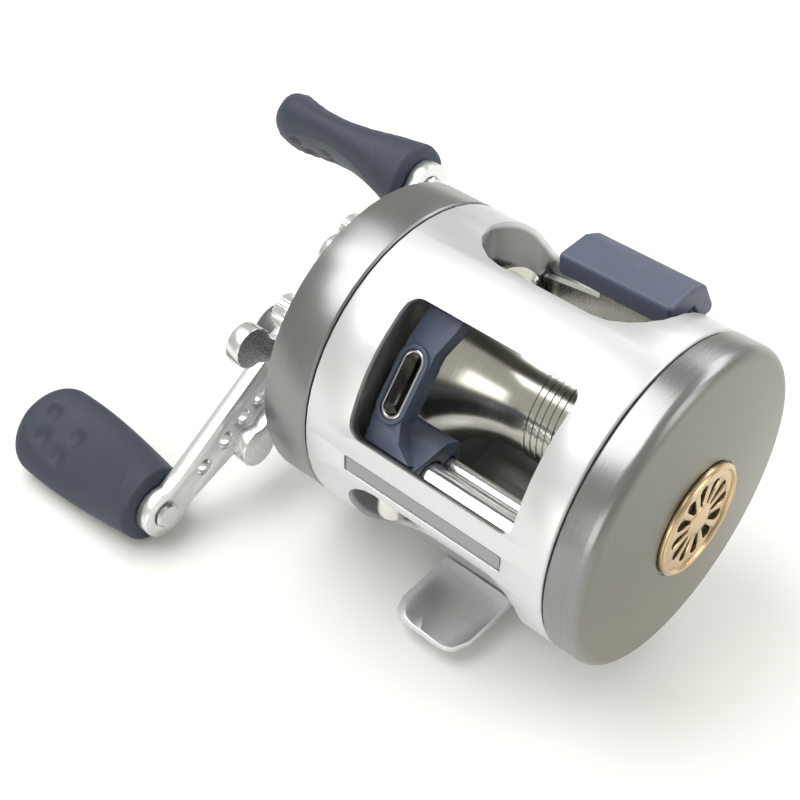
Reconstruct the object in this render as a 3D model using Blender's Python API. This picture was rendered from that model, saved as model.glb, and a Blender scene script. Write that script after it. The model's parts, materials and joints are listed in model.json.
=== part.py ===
"""A compact round baitcasting reel, modelled as an assembly of its separate pieces.

All sizes below are in millimetres and are turned into metres as each mesh is made. +X points from the handle
side to the palm side, -Y to the rod tip, +Z up. The origin lies on the flat underside of the reel foot,
straight below the middle of the round frame. The handle side is at -X.
"""

from math import asin, atan2, cos, hypot, pi, radians, sin, sqrt, tan

import bmesh
import bpy
from mathutils import Matrix, Vector

MM = 0.001

# Clearances
GAP = 0.3  # between pieces that rest on or fit in each other
STACK_GAP = 0.15  # between the thin washers of the drag stack

# Round frame
FRAME_RADIUS = 26.0
FRAME_WIDTH = 44.8
FRAME_EDGE = 0.3
SHELL_WALL = 2.2
CHAMBER_WALL = 2.0
SIDE_WALL = 2.0
GEAR_CHAMBER_DEPTH = 6.0
PALM_CHAMBER_DEPTH = 3.45
HANDLE_WALL_HOLE = 9.0
BARREL_SIDES = 50

# Openings in the frame, as angles from straight up towards the rod tip. The bands are what is left of the
# frame's width beside an opening, on the handle side and on the palm side.
WINDOW_ANGLE = 49.9
WINDOW_BANDS = (8.25, 6.35)
WINDOW_HEIGHT = 22.6
WINDOW_CORNER = 2.2
LOWER_CUT_ANGLE = 122.5
LOWER_CUT_BANDS = (7.4, 4.8)
LOWER_CUT_HEIGHT = 24.5
LOWER_CUT_CORNER = 6.5
REAR_CUT_ANGLE = -37.5
REAR_CUT_BANDS = (7.05, 5.55)
REAR_CUT_INSET = 10.2  # how far short of the frame's radius it reaches to each side of its middle
REAR_CUT_CORNER = 8.0
BELLY_CUT_ANGLE = -121.0
BELLY_CUT_BANDS = (7.4, 7.4)
BELLY_CUT_HEIGHT = 22.0
BELLY_CUT_CORNER = 5.0
LABEL_ANGLE = 87.5
LABEL_BANDS = (8.1, 7.1)
LABEL_HEIGHT = 3.2
LABEL_DEPTH = 0.6

# Foot
FOOT_FRONT = 25.6
FOOT_REAR = 30.4
FOOT_WIDTH = 13.8
FOOT_THICKNESS = 2.3
FOOT_TIP_THICKNESS = 1.2
FOOT_PAD_HALF = 9.0  # half length of the flat part of the underside
FOOT_ARCH = 1.0
FOOT_BAR_LENGTH = 28.0
FOOT_BAR_WIDTH = 22.0
FOOT_BAR_DROP = 0.9  # how far the flat bar stands below the round frame
RIVET_SPACING = 13.0
RIVET_RADIUS = 1.3
RIVET_HEAD_RADIUS = 2.4
RIVET_HEAD_HEIGHT = 0.9

# Axes, measured from the middle of the round frame: (y, z)
SPOOL_AXIS = (4.0, 2.0)
DRIVE_AXIS = (-3.5, -10.0)
WORM_AXIS = (-19.3, -0.8)

# Gears
MAIN_TEETH = 50
PINION_TEETH = 10
LEVEL_DRIVE_TEETH = 20
IDLER_TEETH = 16
WORM_GEAR_TEETH = 14
LEVEL_MODULE = 0.56
TOOTH_BACKLASH = 0.13
MAIN_GEAR_WIDTH = 3.6
LEVEL_GEAR_WIDTH = 1.8
IDLER_STUD_RADIUS = 1.0
MAIN_GEAR_PHASE = 2.0  # where the first tooth stands, in degrees
LEVEL_DRIVE_PHASE = 4.0

# Handle side
COVER_WIDTH = 8.3
COVER_WALL = 1.5
COVER_CHAMFER = 0.9
DRIVE_BOSS_RADIUS = 7.2
DRIVE_BOSS_LENGTH = 4.4
TENSION_BOSS_RADIUS = 4.6
TENSION_BOSS_LENGTH = 4.6
TENSION_CAP_RADIUS = 6.2
TENSION_CAP_WALL = 1.2
TENSION_CAP_LENGTH = 5.8
TENSION_CAP_RIDGES = 20
THUMBSCREW_RADIUS = 2.8
THUMBSCREW_HEIGHT = 5.6
THUMBSCREW_SHANK = 1.2
THUMBSCREW_PLACES = ((0.4, 17.1), (-14.5, 10.2), (15.8, -7.4))
GEAR_PLATE_THICKNESS = 1.7

# Drive train
SHAFT_RADIUS = 2.4
SHAFT_TAIL_RADIUS = 1.5
SHAFT_END_RADIUS = 2.1
WASHER_RADIUS = 9.4
WASHER_THICKNESS = 0.65
SLEEVE_RADIUS = 3.7
ONE_WAY_RADIUS = 5.8
ONE_WAY_LENGTH = 4.6
STAR_ARMS = 5
STAR_REACH = 18.4
STAR_LOBE_RADIUS = 3.6
STAR_THICKNESS = 2.8
STAR_HUB_RADIUS = 6.4
STAR_HUB_DEPTH = 4.6
STAR_PHASE = 141.0
STAR_STANDOFF = 11.2  # from the cover's face to the middle of the arms

# Handle
HANDLE_STANDOFF = 14.2  # from the cover's face to the inner face of the arm
HANDLE_THICKNESS = 2.5
HANDLE_SPAN = 73.0
HANDLE_ANGLE = 24.7
HANDLE_END_RADIUS = 4.4
HANDLE_NECK_HALF = 3.3
HANDLE_HUB_HALF = 6.2
HANDLE_HOLES = ((10.1, 1.6), (15.9, 1.75), (20.9, 1.6), (25.0, 1.4))
KNOB_LENGTH = 32.6
KNOB_BASE_RADIUS = 6.6
KNOB_PIN_RADIUS = 1.5
KNOB_BORE = 1.8
KNOB_REST_ANGLES = (28.0, 125.0)  # broad face of the front and the rear knob
NUT_RADIUS = 4.4
NUT_HEIGHT = 2.6
NUT_CAP_RADIUS = 5.5

# Spool
SPOOL_RADIUS = 15.8
SPOOL_ARBOR = 9.2
SPOOL_FLANGE = 1.2
SPOOL_END_GAP = 0.6
SPOOL_SHAFT_RADIUS = 1.4
PINION_SHAFT_RADIUS = 1.0
BEARING_RADIUS = 4.0
BEARING_WIDTH = 2.2
CLUTCH_TRAVEL = 1.3
CLUTCH_PIN_RADIUS = 0.35
PINION_JOURNAL = 2.0
YOKE_REACH = 7.6
YOKE_THICKNESS = 0.7
POST_RADIUS = 0.9

# Level wind
WORM_RADIUS = 1.9
WORM_GROOVE_DEPTH = 0.45
WORM_LEAD = 5.0
WORM_TUBE_RADIUS = 3.1
WORM_TUBE_WALL = 0.8
GUIDE_ROD_RADIUS = 1.3
GUIDE_ROD_SPACE = 0.4  # between the worm tube and the guide rod behind it
GUIDE_ROD_DROP = 0.4
GUIDE_BLOCK_LENGTH = 10.0
GUIDE_REST_SPACE = 0.6  # between the handle-side wall and the line guide at rest
GUIDE_FACE = 20.3  # front face of the tower, from the middle of the frame
GUIDE_THICKNESS = 3.0
EYELET_LENGTH = 12.6
EYELET_WIDTH = 5.2
EYELET_WALL = 0.9
PAWL_RADIUS = 1.0
PAWL_CAP_RADIUS = 2.7
PAWL_CAP_BOTTOM = -12.4

# Thumb bar
THUMB_WIDTH = 19.6
THUMB_SIDE_SPACE = 1.55  # between the thumb rest and the palm-side wall
THUMB_DROP = 1.8  # from the top of the round frame down to the thumb rest
THUMB_LENGTH = 9.8
THUMB_THICKNESS = 3.8
THUMB_HEEL_DEPTH = 8.0  # from the top of the thumb rest down to the carrier
THUMB_EDGE = 0.7
THUMB_TRAVEL = 3.0
CARRIER_INSET = 5.0  # from the rear of the round frame to the middle of the carrier
CARRIER_THICKNESS = 1.2
CARRIER_TAB_HEIGHT = 5.0

# Palm side
PALM_CAP_WIDTH = 4.0
PALM_RIM_FILLET = 2.0
PALM_DOME = 1.3
PALM_WALL = 1.6
BADGE_RADIUS = 9.2
BADGE_THICKNESS = 0.7
BADGE_SLOTS = 12
BRAKE_PLATE_THICKNESS = 1.4
MAGNET_INNER = 8.6
MAGNET_OUTER = 12.4
MAGNET_THICKNESS = 1.7

# Values that follow from the ones above
FOOT_TOP = FOOT_THICKNESS
AXIS_HEIGHT = FOOT_THICKNESS + GAP + FOOT_BAR_DROP + FRAME_RADIUS
SEAM = FRAME_WIDTH / 2
CHAMBER_RADIUS = FRAME_RADIUS - CHAMBER_WALL
SPOOL_CHAMBER_RADIUS = FRAME_RADIUS - SHELL_WALL
HANDLE_WALL_X = -SEAM + GEAR_CHAMBER_DEPTH  # outer face of the handle-side wall
PALM_WALL_X = SEAM - PALM_CHAMBER_DEPTH  # outer face of the palm-side wall
SPOOL_LEFT = HANDLE_WALL_X + SIDE_WALL + SPOOL_END_GAP
SPOOL_RIGHT = PALM_WALL_X - SIDE_WALL - SPOOL_END_GAP
GEAR_PLATE_X = HANDLE_WALL_X - GAP
LEVEL_GEAR_X = GEAR_PLATE_X - GEAR_PLATE_THICKNESS - 0.7
MAIN_GEAR_X = LEVEL_GEAR_X - LEVEL_GEAR_WIDTH - 1.4
COVER_RIM_X = -SEAM - GAP
COVER_FACE_X = COVER_RIM_X - COVER_WIDTH - 1.2
COVER_INSIDE_X = COVER_FACE_X + COVER_WALL
DRIVE_BOSS_X = COVER_FACE_X - DRIVE_BOSS_LENGTH
TENSION_BOSS_X = COVER_FACE_X - TENSION_BOSS_LENGTH
GEAR_DISTANCE = hypot(SPOOL_AXIS[0] - DRIVE_AXIS[0], SPOOL_AXIS[1] - DRIVE_AXIS[1])
MAIN_MODULE = 2 * GEAR_DISTANCE / (MAIN_TEETH + PINION_TEETH)
SHAFT_BORE = SHAFT_RADIUS + GAP
SPOOL_BORE = SPOOL_SHAFT_RADIUS + GAP
SPOOL_HOLE_RADIUS = SPOOL_RADIUS + 0.8
STAR_X = COVER_FACE_X - STAR_STANDOFF
HANDLE_X = COVER_FACE_X - HANDLE_STANDOFF
GUIDE_REST_X = HANDLE_WALL_X + SIDE_WALL + GUIDE_REST_SPACE
GUIDE_ROD_AXIS = (
    WORM_AXIS[0] + WORM_TUBE_RADIUS + GUIDE_ROD_RADIUS + GUIDE_ROD_SPACE,
    WORM_AXIS[1] - GUIDE_ROD_DROP,
)
CARRIER_Y = FRAME_RADIUS - CARRIER_INSET
THUMB_TOP = FRAME_RADIUS - THUMB_DROP
THUMB_BOTTOM = THUMB_TOP - THUMB_THICKNESS
THUMB_HEEL = THUMB_TOP - THUMB_HEEL_DEPTH
THUMB_REAR = CARRIER_Y - 1.4
THUMB_FRONT = THUMB_REAR - THUMB_LENGTH
THUMB_RIGHT = PALM_WALL_X - SIDE_WALL - THUMB_SIDE_SPACE
THUMB_LEFT = THUMB_RIGHT - THUMB_WIDTH


# Materials

MATERIALS = {
    "satin_silver": ((0.78, 0.79, 0.81), 0.38, 0.9),
    "dark_gunmetal": ((0.30, 0.31, 0.32), 0.34, 0.9),
    "satin_olive_grey": ((0.42, 0.42, 0.39), 0.4, 0.8),
    "slate_rubber": ((0.10, 0.115, 0.15), 0.65, 0.0),
    "slate_plastic": ((0.11, 0.13, 0.19), 0.42, 0.0),
    "bare_label": ((0.42, 0.43, 0.43), 0.5, 0.3),
    "foot_steel": ((0.50, 0.52, 0.55), 0.38, 0.9),
    "handle_aluminium": ((0.72, 0.73, 0.72), 0.35, 0.9),
    "polished_aluminium": ((0.80, 0.80, 0.78), 0.15, 1.0),
    "steel": ((0.60, 0.60, 0.60), 0.28, 1.0),
    "chrome": ((0.85, 0.86, 0.88), 0.08, 1.0),
    "brass": ((0.72, 0.53, 0.26), 0.32, 1.0),
    "gold_badge": ((0.66, 0.48, 0.27), 0.3, 1.0),
    "drag_fibre": ((0.09, 0.09, 0.09), 0.85, 0.0),
    "magnet": ((0.22, 0.22, 0.23), 0.5, 0.6),
}
made_materials = {}


def material(name):
    if name not in made_materials:
        colour, roughness, metallic = MATERIALS[name]
        made = bpy.data.materials.new(name)
        made.use_nodes = True
        made.diffuse_color = (*colour, 1.0)
        shader = made.node_tree.nodes["Principled BSDF"]
        shader.inputs["Base Color"].default_value = (*colour, 1.0)
        shader.inputs["Roughness"].default_value = roughness
        shader.inputs["Metallic"].default_value = metallic
        made_materials[name] = made
    return made_materials[name]


# Building blocks


def clear_scene():
    for old in list(bpy.data.objects):
        bpy.data.objects.remove(old, do_unlink=True)


def empty(name, y, z, x=0.0, parent=None):
    """A joint's axis, as an empty that the moving pieces hang on."""
    made = bpy.data.objects.new(name, None)
    made.empty_display_size = 5 * MM
    made.location = (x * MM, y * MM, z * MM)
    made.parent = parent
    bpy.context.scene.collection.objects.link(made)
    return made


def finish_mesh(name, bm, finish, at=(0, 0, 0), parent=None, helper=False):
    """Turns millimetres into metres and makes the object; a helper is a cutter or a filler for a Boolean."""
    bmesh.ops.recalc_face_normals(bm, faces=bm.faces)
    bmesh.ops.scale(bm, vec=(MM, MM, MM), verts=bm.verts)
    mesh = bpy.data.meshes.new(name)
    bm.to_mesh(mesh)
    bm.free()
    mesh.shade_smooth()
    mesh.set_sharp_from_angle(angle=radians(35))
    made = bpy.data.objects.new(name, mesh)
    made.location = Vector(at) * MM
    made.parent = parent
    if helper:
        made.hide_render = True
        made.display_type = "WIRE"
    else:
        mesh.materials.append(material(finish))
    bpy.context.scene.collection.objects.link(made)
    return made


def turned_bm(profile, sides, axis="X", centre=(0, 0, 0), phase=0.0):
    """Spins a profile of (along, radius) points about an axis through centre.

    A profile that starts and ends on the axis gives a solid piece, and any other profile gives a ring.
    """
    bm = bmesh.new()
    along, out = (Vector((1, 0, 0)), Vector((0, 1, 0))) if axis == "X" else (
        Vector((0, 0, 1)), Vector((1, 0, 0))
    )
    centre = Vector(centre)
    out = Matrix.Rotation(phase, 3, along) @ out
    verts = [bm.verts.new(centre + along * a + out * r) for a, r in profile]
    edges = [bm.edges.new(pair) for pair in zip(verts, verts[1:])]
    if profile[0][1] > 0:
        edges.append(bm.edges.new((verts[-1], verts[0])))
    bmesh.ops.spin(
        bm, geom=verts + edges, cent=centre, axis=along, angle=2 * pi, steps=sides, use_merge=True
    )
    bmesh.ops.remove_doubles(bm, verts=bm.verts, dist=1e-5)
    bmesh.ops.recalc_face_normals(bm, faces=bm.faces)
    for vert in [v for v in bm.verts if len(v.link_faces) == sides]:
        if all(abs(face.normal.dot(along)) > 0.9999 for face in vert.link_faces):
            bmesh.ops.dissolve_faces(bm, faces=list(vert.link_faces), use_verts=True)
    return bm


def turned(name, profile, finish, sides=32, axis="X", centre=(0, 0, 0), helper=False, **place):
    """A cutter is turned by part of a side, so that its corners miss the edges of the piece it cuts."""
    phase = 0.37 * 2 * pi / sides if helper else 0.0
    return finish_mesh(name, turned_bm(profile, sides, axis, centre, phase), finish, helper=helper, **place)


def rod(name, x0, x1, radius, finish, sides=24, bore=0.0, edge=0.0, **place):
    """A round bar along X, or a tube when it has a bore."""
    outer = [(x0, radius - edge), (x0 + edge, radius), (x1 - edge, radius), (x1, radius - edge)]
    if not edge:
        outer = [(x0, radius), (x1, radius)]
    ends = [(x1, bore), (x0, bore)]
    profile = outer + ends if bore else [(x0, 0), *outer, (x1, 0)]
    return turned(name, profile, finish, sides, **place)


def outline_prism(name, outline, depth, matrix, finish=None, **place):
    """Extrudes a flat (u, v) outline by depth along w; the matrix carries u, v, w into the reel."""
    bm = bmesh.new()
    face = bm.faces.new([bm.verts.new((u, v, 0)) for u, v in outline])
    grown = bmesh.ops.extrude_face_region(bm, geom=[face])
    top = [item for item in grown["geom"] if isinstance(item, bmesh.types.BMVert)]
    bmesh.ops.translate(bm, vec=(0, 0, depth), verts=top)
    bmesh.ops.transform(bm, matrix=matrix, verts=bm.verts)
    return finish_mesh(name, bm, finish, **place)


def across(x):
    """Carries an outline drawn in (y, z) to the plane X = x, growing towards +X."""
    return Matrix(((0, 0, 1, x), (1, 0, 0, 0), (0, 1, 0, 0), (0, 0, 0, 1)))


def outward(angle, distance, x=0.0, height=0.0):
    """Carries an outline drawn in (x, up the frame's curve) to a plane that faces out at an angle.

    The angle is from straight up. The outline grows away from the middle of the frame, and its v points up
    along the plane.
    """
    a = radians(angle)
    normal = Vector((0, -sin(a), cos(a)))
    rise = Vector((0, cos(a), sin(a)))
    origin = normal * distance + rise * height + Vector((x, 0, AXIS_HEIGHT))
    columns = (Vector((1, 0, 0)), rise, normal)
    matrix = Matrix(
        [[column[row] for column in columns] + [origin[row]] for row in range(3)] + [[0, 0, 0, 1]]
    )
    return matrix


def circle(radius, sides, u=0.0, v=0.0, phase=0.0):
    return [
        (u + radius * cos(phase + 2 * pi * i / sides), v + radius * sin(phase + 2 * pi * i / sides))
        for i in range(sides)
    ]


def arc(u, v, radius, start, end, steps):
    turns = [radians(start + (end - start) * i / steps) for i in range(steps + 1)]
    return [(u + radius * cos(turn), v + radius * sin(turn)) for turn in turns]


def rounded_rectangle(width, height, corner, steps=5, u=0.0, v=0.0):
    a, b = width / 2 - corner, height / 2 - corner
    points = []
    for quarter, (su, sv) in enumerate(((1, 1), (-1, 1), (-1, -1), (1, -1))):
        points += arc(u + su * a, v + sv * b, corner, 90 * quarter, 90 * quarter + 90, steps)
    return points


def boolean(target, other, operation="DIFFERENCE"):
    modifier = target.modifiers.new(f"{operation.lower()} {other.name}", "BOOLEAN")
    modifier.operation = operation
    modifier.solver = "EXACT"
    modifier.object = other


def cut(target, *cutters):
    for cutter in cutters:
        boolean(target, cutter)


def bore_cutter(name, x0, x1, radius, y, z, sides=24, **place):
    """A round cutter along X; y and z are measured from the middle of the frame."""
    return rod(name, x0, x1, radius, None, sides, at=(0, y, z + AXIS_HEIGHT), helper=True, **place)


def at_axis(axis):
    return (0, axis[0], axis[1] + AXIS_HEIGHT)


# Gear teeth


def involute(angle):
    return tan(angle) - angle


def gear_outline(teeth, module, phase, flank_points, addendum=0.85):
    """Outline of a spur gear with 20 degree teeth, thinned for backlash, with one tooth centred on phase."""
    pitch = teeth * module / 2
    base = pitch * cos(radians(20))
    root, tip = pitch - 1.2 * module, pitch + addendum * module
    start = max(base, root)
    half_at_pitch = pi / (2 * teeth) - TOOTH_BACKLASH / pitch

    def half_angle(radius):
        pressure = sqrt(max(0.0, 1 - (base / radius) ** 2))
        return half_at_pitch + involute(radians(20)) - involute(atan2(pressure, base / radius))

    radii = [start + (tip - start) * i / (flank_points - 1) for i in range(flank_points)]
    side = [(radius, max(0.0, half_angle(radius))) for radius in radii]
    if root < start:
        side = [(root, side[0][1])] + side
    points = []
    for tooth in range(teeth):
        middle = phase + 2 * pi * tooth / teeth
        for radius, half in side:
            points.append((radius * cos(middle - half), radius * sin(middle - half)))
        for radius, half in reversed(side):
            points.append((radius * cos(middle + half), radius * sin(middle + half)))
    return points


def meshing_phase(driver_phase, driver_teeth, driven_teeth, bearing):
    """Phase that puts a tooth gap of the driven gear where the driver's tooth pattern meets it.

    bearing is the direction from the driver's centre to the driven gear's centre.
    """
    tooth_offset = (driver_phase - bearing) * driver_teeth / driven_teeth
    return bearing + pi - tooth_offset + pi / driven_teeth


def bearing_between(first, second):
    return atan2(second[1] - first[1], second[0] - first[0])


def idler_axis():
    """Centre of the idler, one pitch distance from the drive gear and one from the worm gear."""
    first = LEVEL_MODULE * (LEVEL_DRIVE_TEETH + IDLER_TEETH) / 2
    second = LEVEL_MODULE * (WORM_GEAR_TEETH + IDLER_TEETH) / 2
    dy, dz = WORM_AXIS[0] - DRIVE_AXIS[0], WORM_AXIS[1] - DRIVE_AXIS[1]
    span = hypot(dy, dz)
    along = (first**2 - second**2 + span**2) / (2 * span)
    side = sqrt(max(0.0, first**2 - along**2))
    uy, uz = dy / span, dz / span
    return (DRIVE_AXIS[0] + along * uy + side * uz, DRIVE_AXIS[1] + along * uz - side * uy)


def idler_gear_phase():
    bearing = bearing_between(DRIVE_AXIS, idler_axis())
    return meshing_phase(radians(LEVEL_DRIVE_PHASE), LEVEL_DRIVE_TEETH, IDLER_TEETH, bearing)


# Frame and foot


def between_bands(bands):
    """Length and middle of what lies between the handle-side and the palm-side band."""
    handle_band, palm_band = bands
    return FRAME_WIDTH - handle_band - palm_band, (handle_band - palm_band) / 2


def frame_opening(name, angle, bands, height, corner, inner=13.0):
    length, x = between_bands(bands)
    matrix = outward(angle, inner, x)
    return outline_prism(name, rounded_rectangle(length, height, corner), FRAME_RADIUS, matrix, helper=True)


def make_frame():
    profile = [
        (-SEAM, 0),
        (-SEAM, FRAME_RADIUS - FRAME_EDGE),
        (-SEAM + FRAME_EDGE, FRAME_RADIUS),
        (SEAM - FRAME_EDGE, FRAME_RADIUS),
        (SEAM, FRAME_RADIUS - FRAME_EDGE),
        (SEAM, 0),
    ]
    frame = turned("frame", profile, "satin_silver", BARREL_SIDES, at=(0, 0, AXIS_HEIGHT))
    foot_bar_top = AXIS_HEIGHT - SPOOL_CHAMBER_RADIUS + 0.6
    foot_bar_bottom = FOOT_TOP + GAP
    bar = outline_prism(
        "frame foot bar",
        rounded_rectangle(FOOT_BAR_LENGTH, FOOT_BAR_WIDTH, 2.0),
        foot_bar_top - foot_bar_bottom,
        Matrix.Translation((0, 0, foot_bar_bottom)),
        helper=True,
    )
    boolean(frame, bar, "UNION")
    beyond = 2.0
    sides = BARREL_SIDES
    rear_cut_height = 2 * (FRAME_RADIUS - REAR_CUT_INSET)
    cut(
        frame,
        bore_cutter("gear chamber", -SEAM - beyond, HANDLE_WALL_X, CHAMBER_RADIUS, 0, 0, sides),
        bore_cutter(
            "spool chamber",
            HANDLE_WALL_X + SIDE_WALL,
            PALM_WALL_X - SIDE_WALL,
            SPOOL_CHAMBER_RADIUS,
            0,
            0,
            sides,
        ),
        bore_cutter("palm chamber", PALM_WALL_X, SEAM + beyond, CHAMBER_RADIUS, 0, 0, sides),
        bore_cutter("handle wall hole", HANDLE_WALL_X - 1, SPOOL_LEFT, HANDLE_WALL_HOLE, *SPOOL_AXIS, 32),
        bore_cutter("palm wall hole", SPOOL_RIGHT, PALM_WALL_X + 1, SPOOL_HOLE_RADIUS, *SPOOL_AXIS, 32),
        bore_cutter(
            "worm tube holes", HANDLE_WALL_X - 1, PALM_WALL_X + 1, WORM_TUBE_RADIUS + GAP, *WORM_AXIS
        ),
        bore_cutter(
            "guide rod holes", HANDLE_WALL_X - 1, PALM_WALL_X + 1, GUIDE_ROD_RADIUS + GAP, *GUIDE_ROD_AXIS
        ),
        frame_opening("front window", WINDOW_ANGLE, WINDOW_BANDS, WINDOW_HEIGHT, WINDOW_CORNER),
        frame_opening("lower opening", LOWER_CUT_ANGLE, LOWER_CUT_BANDS, LOWER_CUT_HEIGHT, LOWER_CUT_CORNER),
        frame_opening("rear opening", REAR_CUT_ANGLE, REAR_CUT_BANDS, rear_cut_height, REAR_CUT_CORNER),
        frame_opening("belly opening", BELLY_CUT_ANGLE, BELLY_CUT_BANDS, BELLY_CUT_HEIGHT, BELLY_CUT_CORNER),
        label_block("label recess", 0.0, FRAME_RADIUS - LABEL_DEPTH, 3.0, None, helper=True),
        thumb_slots(),
        *rivet_bores("frame rivet bore"),
    )
    return frame


def label_block(name, space, inner, depth, finish, **place):
    """The label's recess, or the label itself with a space all round it."""
    length, x = between_bands(LABEL_BANDS)
    matrix = outward(LABEL_ANGLE, inner, x)
    outline = rounded_rectangle(length - 2 * space, LABEL_HEIGHT - 2 * space, 0.5, 3)
    return outline_prism(name, outline, depth, matrix, finish, **place)


def make_label():
    depth = LABEL_DEPTH - GAP - 0.1
    label_block("bare_label", GAP, FRAME_RADIUS - LABEL_DEPTH + GAP * 0.6, depth, "bare_label")


def thumb_slots():
    """One long cutter that opens a slot for the carrier's tabs in both side walls."""
    x0, x1 = HANDLE_WALL_X - 1, PALM_WALL_X + 1
    return outline_prism("thumb bar slots", tab_slot_outline(), x1 - x0, across(x0), helper=True)


def tab_slot_outline():
    """Room for a tab of the carrier over its whole travel."""
    half = CARRIER_THICKNESS / 2 + GAP
    low, high = tab_heights()
    low, high = low - THUMB_TRAVEL - GAP, high + GAP
    return [
        (CARRIER_Y - half, low),
        (CARRIER_Y + half, low),
        (CARRIER_Y + half, high),
        (CARRIER_Y - half, high),
    ]


def tab_heights():
    """Lowest and highest point of the carrier's tabs, inside the round chamber."""
    reach = SPOOL_CHAMBER_RADIUS - 0.9
    high = AXIS_HEIGHT + sqrt(reach**2 - (CARRIER_Y + CARRIER_THICKNESS / 2) ** 2)
    return high - CARRIER_TAB_HEIGHT, high


def foot_section(y):
    """Half width, underside lift and thickness of the foot at a place along it."""
    tip = FOOT_FRONT if y < 0 else FOOT_REAR
    beyond = max(0.0, abs(y) - FOOT_PAD_HALF) / (tip - FOOT_PAD_HALF)
    corner = 4.0
    inside = max(0.0, abs(y) - (tip - corner)) / corner
    half = FOOT_WIDTH / 2 - corner * (1 - sqrt(max(0.0, 1 - inside**2)))
    thickness = FOOT_THICKNESS + (FOOT_TIP_THICKNESS - FOOT_THICKNESS) * beyond
    return half, beyond, thickness


def make_foot():
    """The foot is flat below the frame and arches across its width towards both tips."""
    bm = bmesh.new()
    columns = 7
    stations = [
        -FOOT_FRONT, -FOOT_FRONT + 0.4, -FOOT_FRONT + 1.4, -FOOT_FRONT + 4, -17.5, -13, -FOOT_PAD_HALF
    ]
    stations += [FOOT_PAD_HALF, 14, 20, FOOT_REAR - 4, FOOT_REAR - 1.4, FOOT_REAR - 0.4, FOOT_REAR]
    rings = []
    for y in stations:
        half, arch, thickness = foot_section(y)
        under, over = [], []
        for i in range(columns):
            x = half * (2 * i / (columns - 1) - 1)
            crown = FOOT_ARCH * arch * (1 - (2 * x / FOOT_WIDTH) ** 2)
            rise = 0.5 * arch**2
            under.append(bm.verts.new((x, y, rise + crown)))
            over.append(bm.verts.new((x, y, rise + crown + thickness)))
        rings.append(under + over[::-1])
    for first, second in zip(rings, rings[1:]):
        for i in range(len(first)):
            j = (i + 1) % len(first)
            bm.faces.new((first[i], first[j], second[j], second[i]))
    bm.faces.new(rings[0])
    bm.faces.new(rings[-1])
    foot = finish_mesh("reel_foot", bm, "foot_steel")
    cut(foot, *rivet_bores("foot rivet bore"))


def rivet_places():
    return [(0.0, side * RIVET_SPACING / 2) for side in (-1, 1)]


def rivet_bores(name):
    z0, z1 = -1.0, AXIS_HEIGHT - SPOOL_CHAMBER_RADIUS + 3
    radius = RIVET_RADIUS + GAP
    profile = [(z0, 0), (z0, radius), (z1, radius), (z1, 0)]
    return [
        turned(f"{name} {i + 1}", profile, None, 20, "Z", (x, y, 0), helper=True)
        for i, (x, y) in enumerate(rivet_places())
    ]


def make_rivets():
    inside = AXIS_HEIGHT - SPOOL_CHAMBER_RADIUS
    for i, (x, y) in enumerate(rivet_places()):
        head = AXIS_HEIGHT - sqrt(SPOOL_CHAMBER_RADIUS**2 - (abs(y) + 2.4) ** 2) + GAP + 0.1
        head = max(head, inside + 0.6 + GAP)
        profile = [
            (0.3, 0),
            (0.3, RIVET_RADIUS),
            (head, RIVET_RADIUS),
            (head, RIVET_HEAD_RADIUS),
            (head + RIVET_HEAD_HEIGHT * 0.6, RIVET_HEAD_RADIUS * 0.8),
            (head + RIVET_HEAD_HEIGHT, 0),
        ]
        turned(f"foot_rivet_{i + 1}", profile, "steel", 20, "Z", (x, y, 0))


# Handle-side housing


def make_handle_cover():
    rim, face, inside = COVER_RIM_X, COVER_FACE_X, COVER_INSIDE_X
    edge = rim - COVER_WIDTH
    inner_radius = FRAME_RADIUS - COVER_WALL
    profile = [
        (rim, inner_radius),
        (rim, FRAME_RADIUS - FRAME_EDGE),
        (rim - FRAME_EDGE, FRAME_RADIUS),
        (edge, FRAME_RADIUS),
        (edge - 0.5, FRAME_RADIUS - COVER_CHAMFER),
        (face + 0.2, FRAME_RADIUS - 3.6),
        (face, FRAME_RADIUS - 6.0),
        (face, 0),
        (inside, 0),
        (inside, FRAME_RADIUS - 4.4),
        (inside + 1.0, inner_radius),
    ]
    profile = profile[7:] + profile[:7]
    profile = profile[1:] + [(face, 0)]
    cover = turned("handle_side_cover", profile, "dark_gunmetal", BARREL_SIDES, at=(0, 0, AXIS_HEIGHT))
    drive_boss = rod(
        "drive boss",
        DRIVE_BOSS_X,
        inside - 0.3,
        DRIVE_BOSS_RADIUS,
        None,
        28,
        edge=0.4,
        at=at_axis(DRIVE_AXIS),
        helper=True,
    )
    tension_boss = rod(
        "tension boss",
        TENSION_BOSS_X,
        inside - 0.3,
        TENSION_BOSS_RADIUS,
        None,
        24,
        at=at_axis(SPOOL_AXIS),
        helper=True,
    )
    boolean(cover, drive_boss, "UNION")
    boolean(cover, tension_boss, "UNION")
    seat = one_way_span()[0] - GAP
    cut(
        cover,
        bore_cutter("one way seat", seat, inside + 3, ONE_WAY_RADIUS + GAP, *DRIVE_AXIS, 28),
        bore_cutter("sleeve bore", DRIVE_BOSS_X - 1, seat + 1, SLEEVE_RADIUS + GAP, *DRIVE_AXIS, 24),
        bore_cutter(
            "pinion journal bore", TENSION_BOSS_X - 1, inside + 1, PINION_JOURNAL + GAP, *SPOOL_AXIS, 24
        ),
        *[
            bore_cutter(f"thumbscrew bore {i + 1}", face - 2, inside + 2, THUMBSCREW_SHANK + GAP, *place, 16)
            for i, place in enumerate(THUMBSCREW_PLACES)
        ],
        *[
            bore_cutter(f"post pocket {i + 1}", inside - 0.6, inside + 1, POST_RADIUS + GAP, *place, 16)
            for i, place in enumerate(yoke_post_places())
        ],
    )


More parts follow.
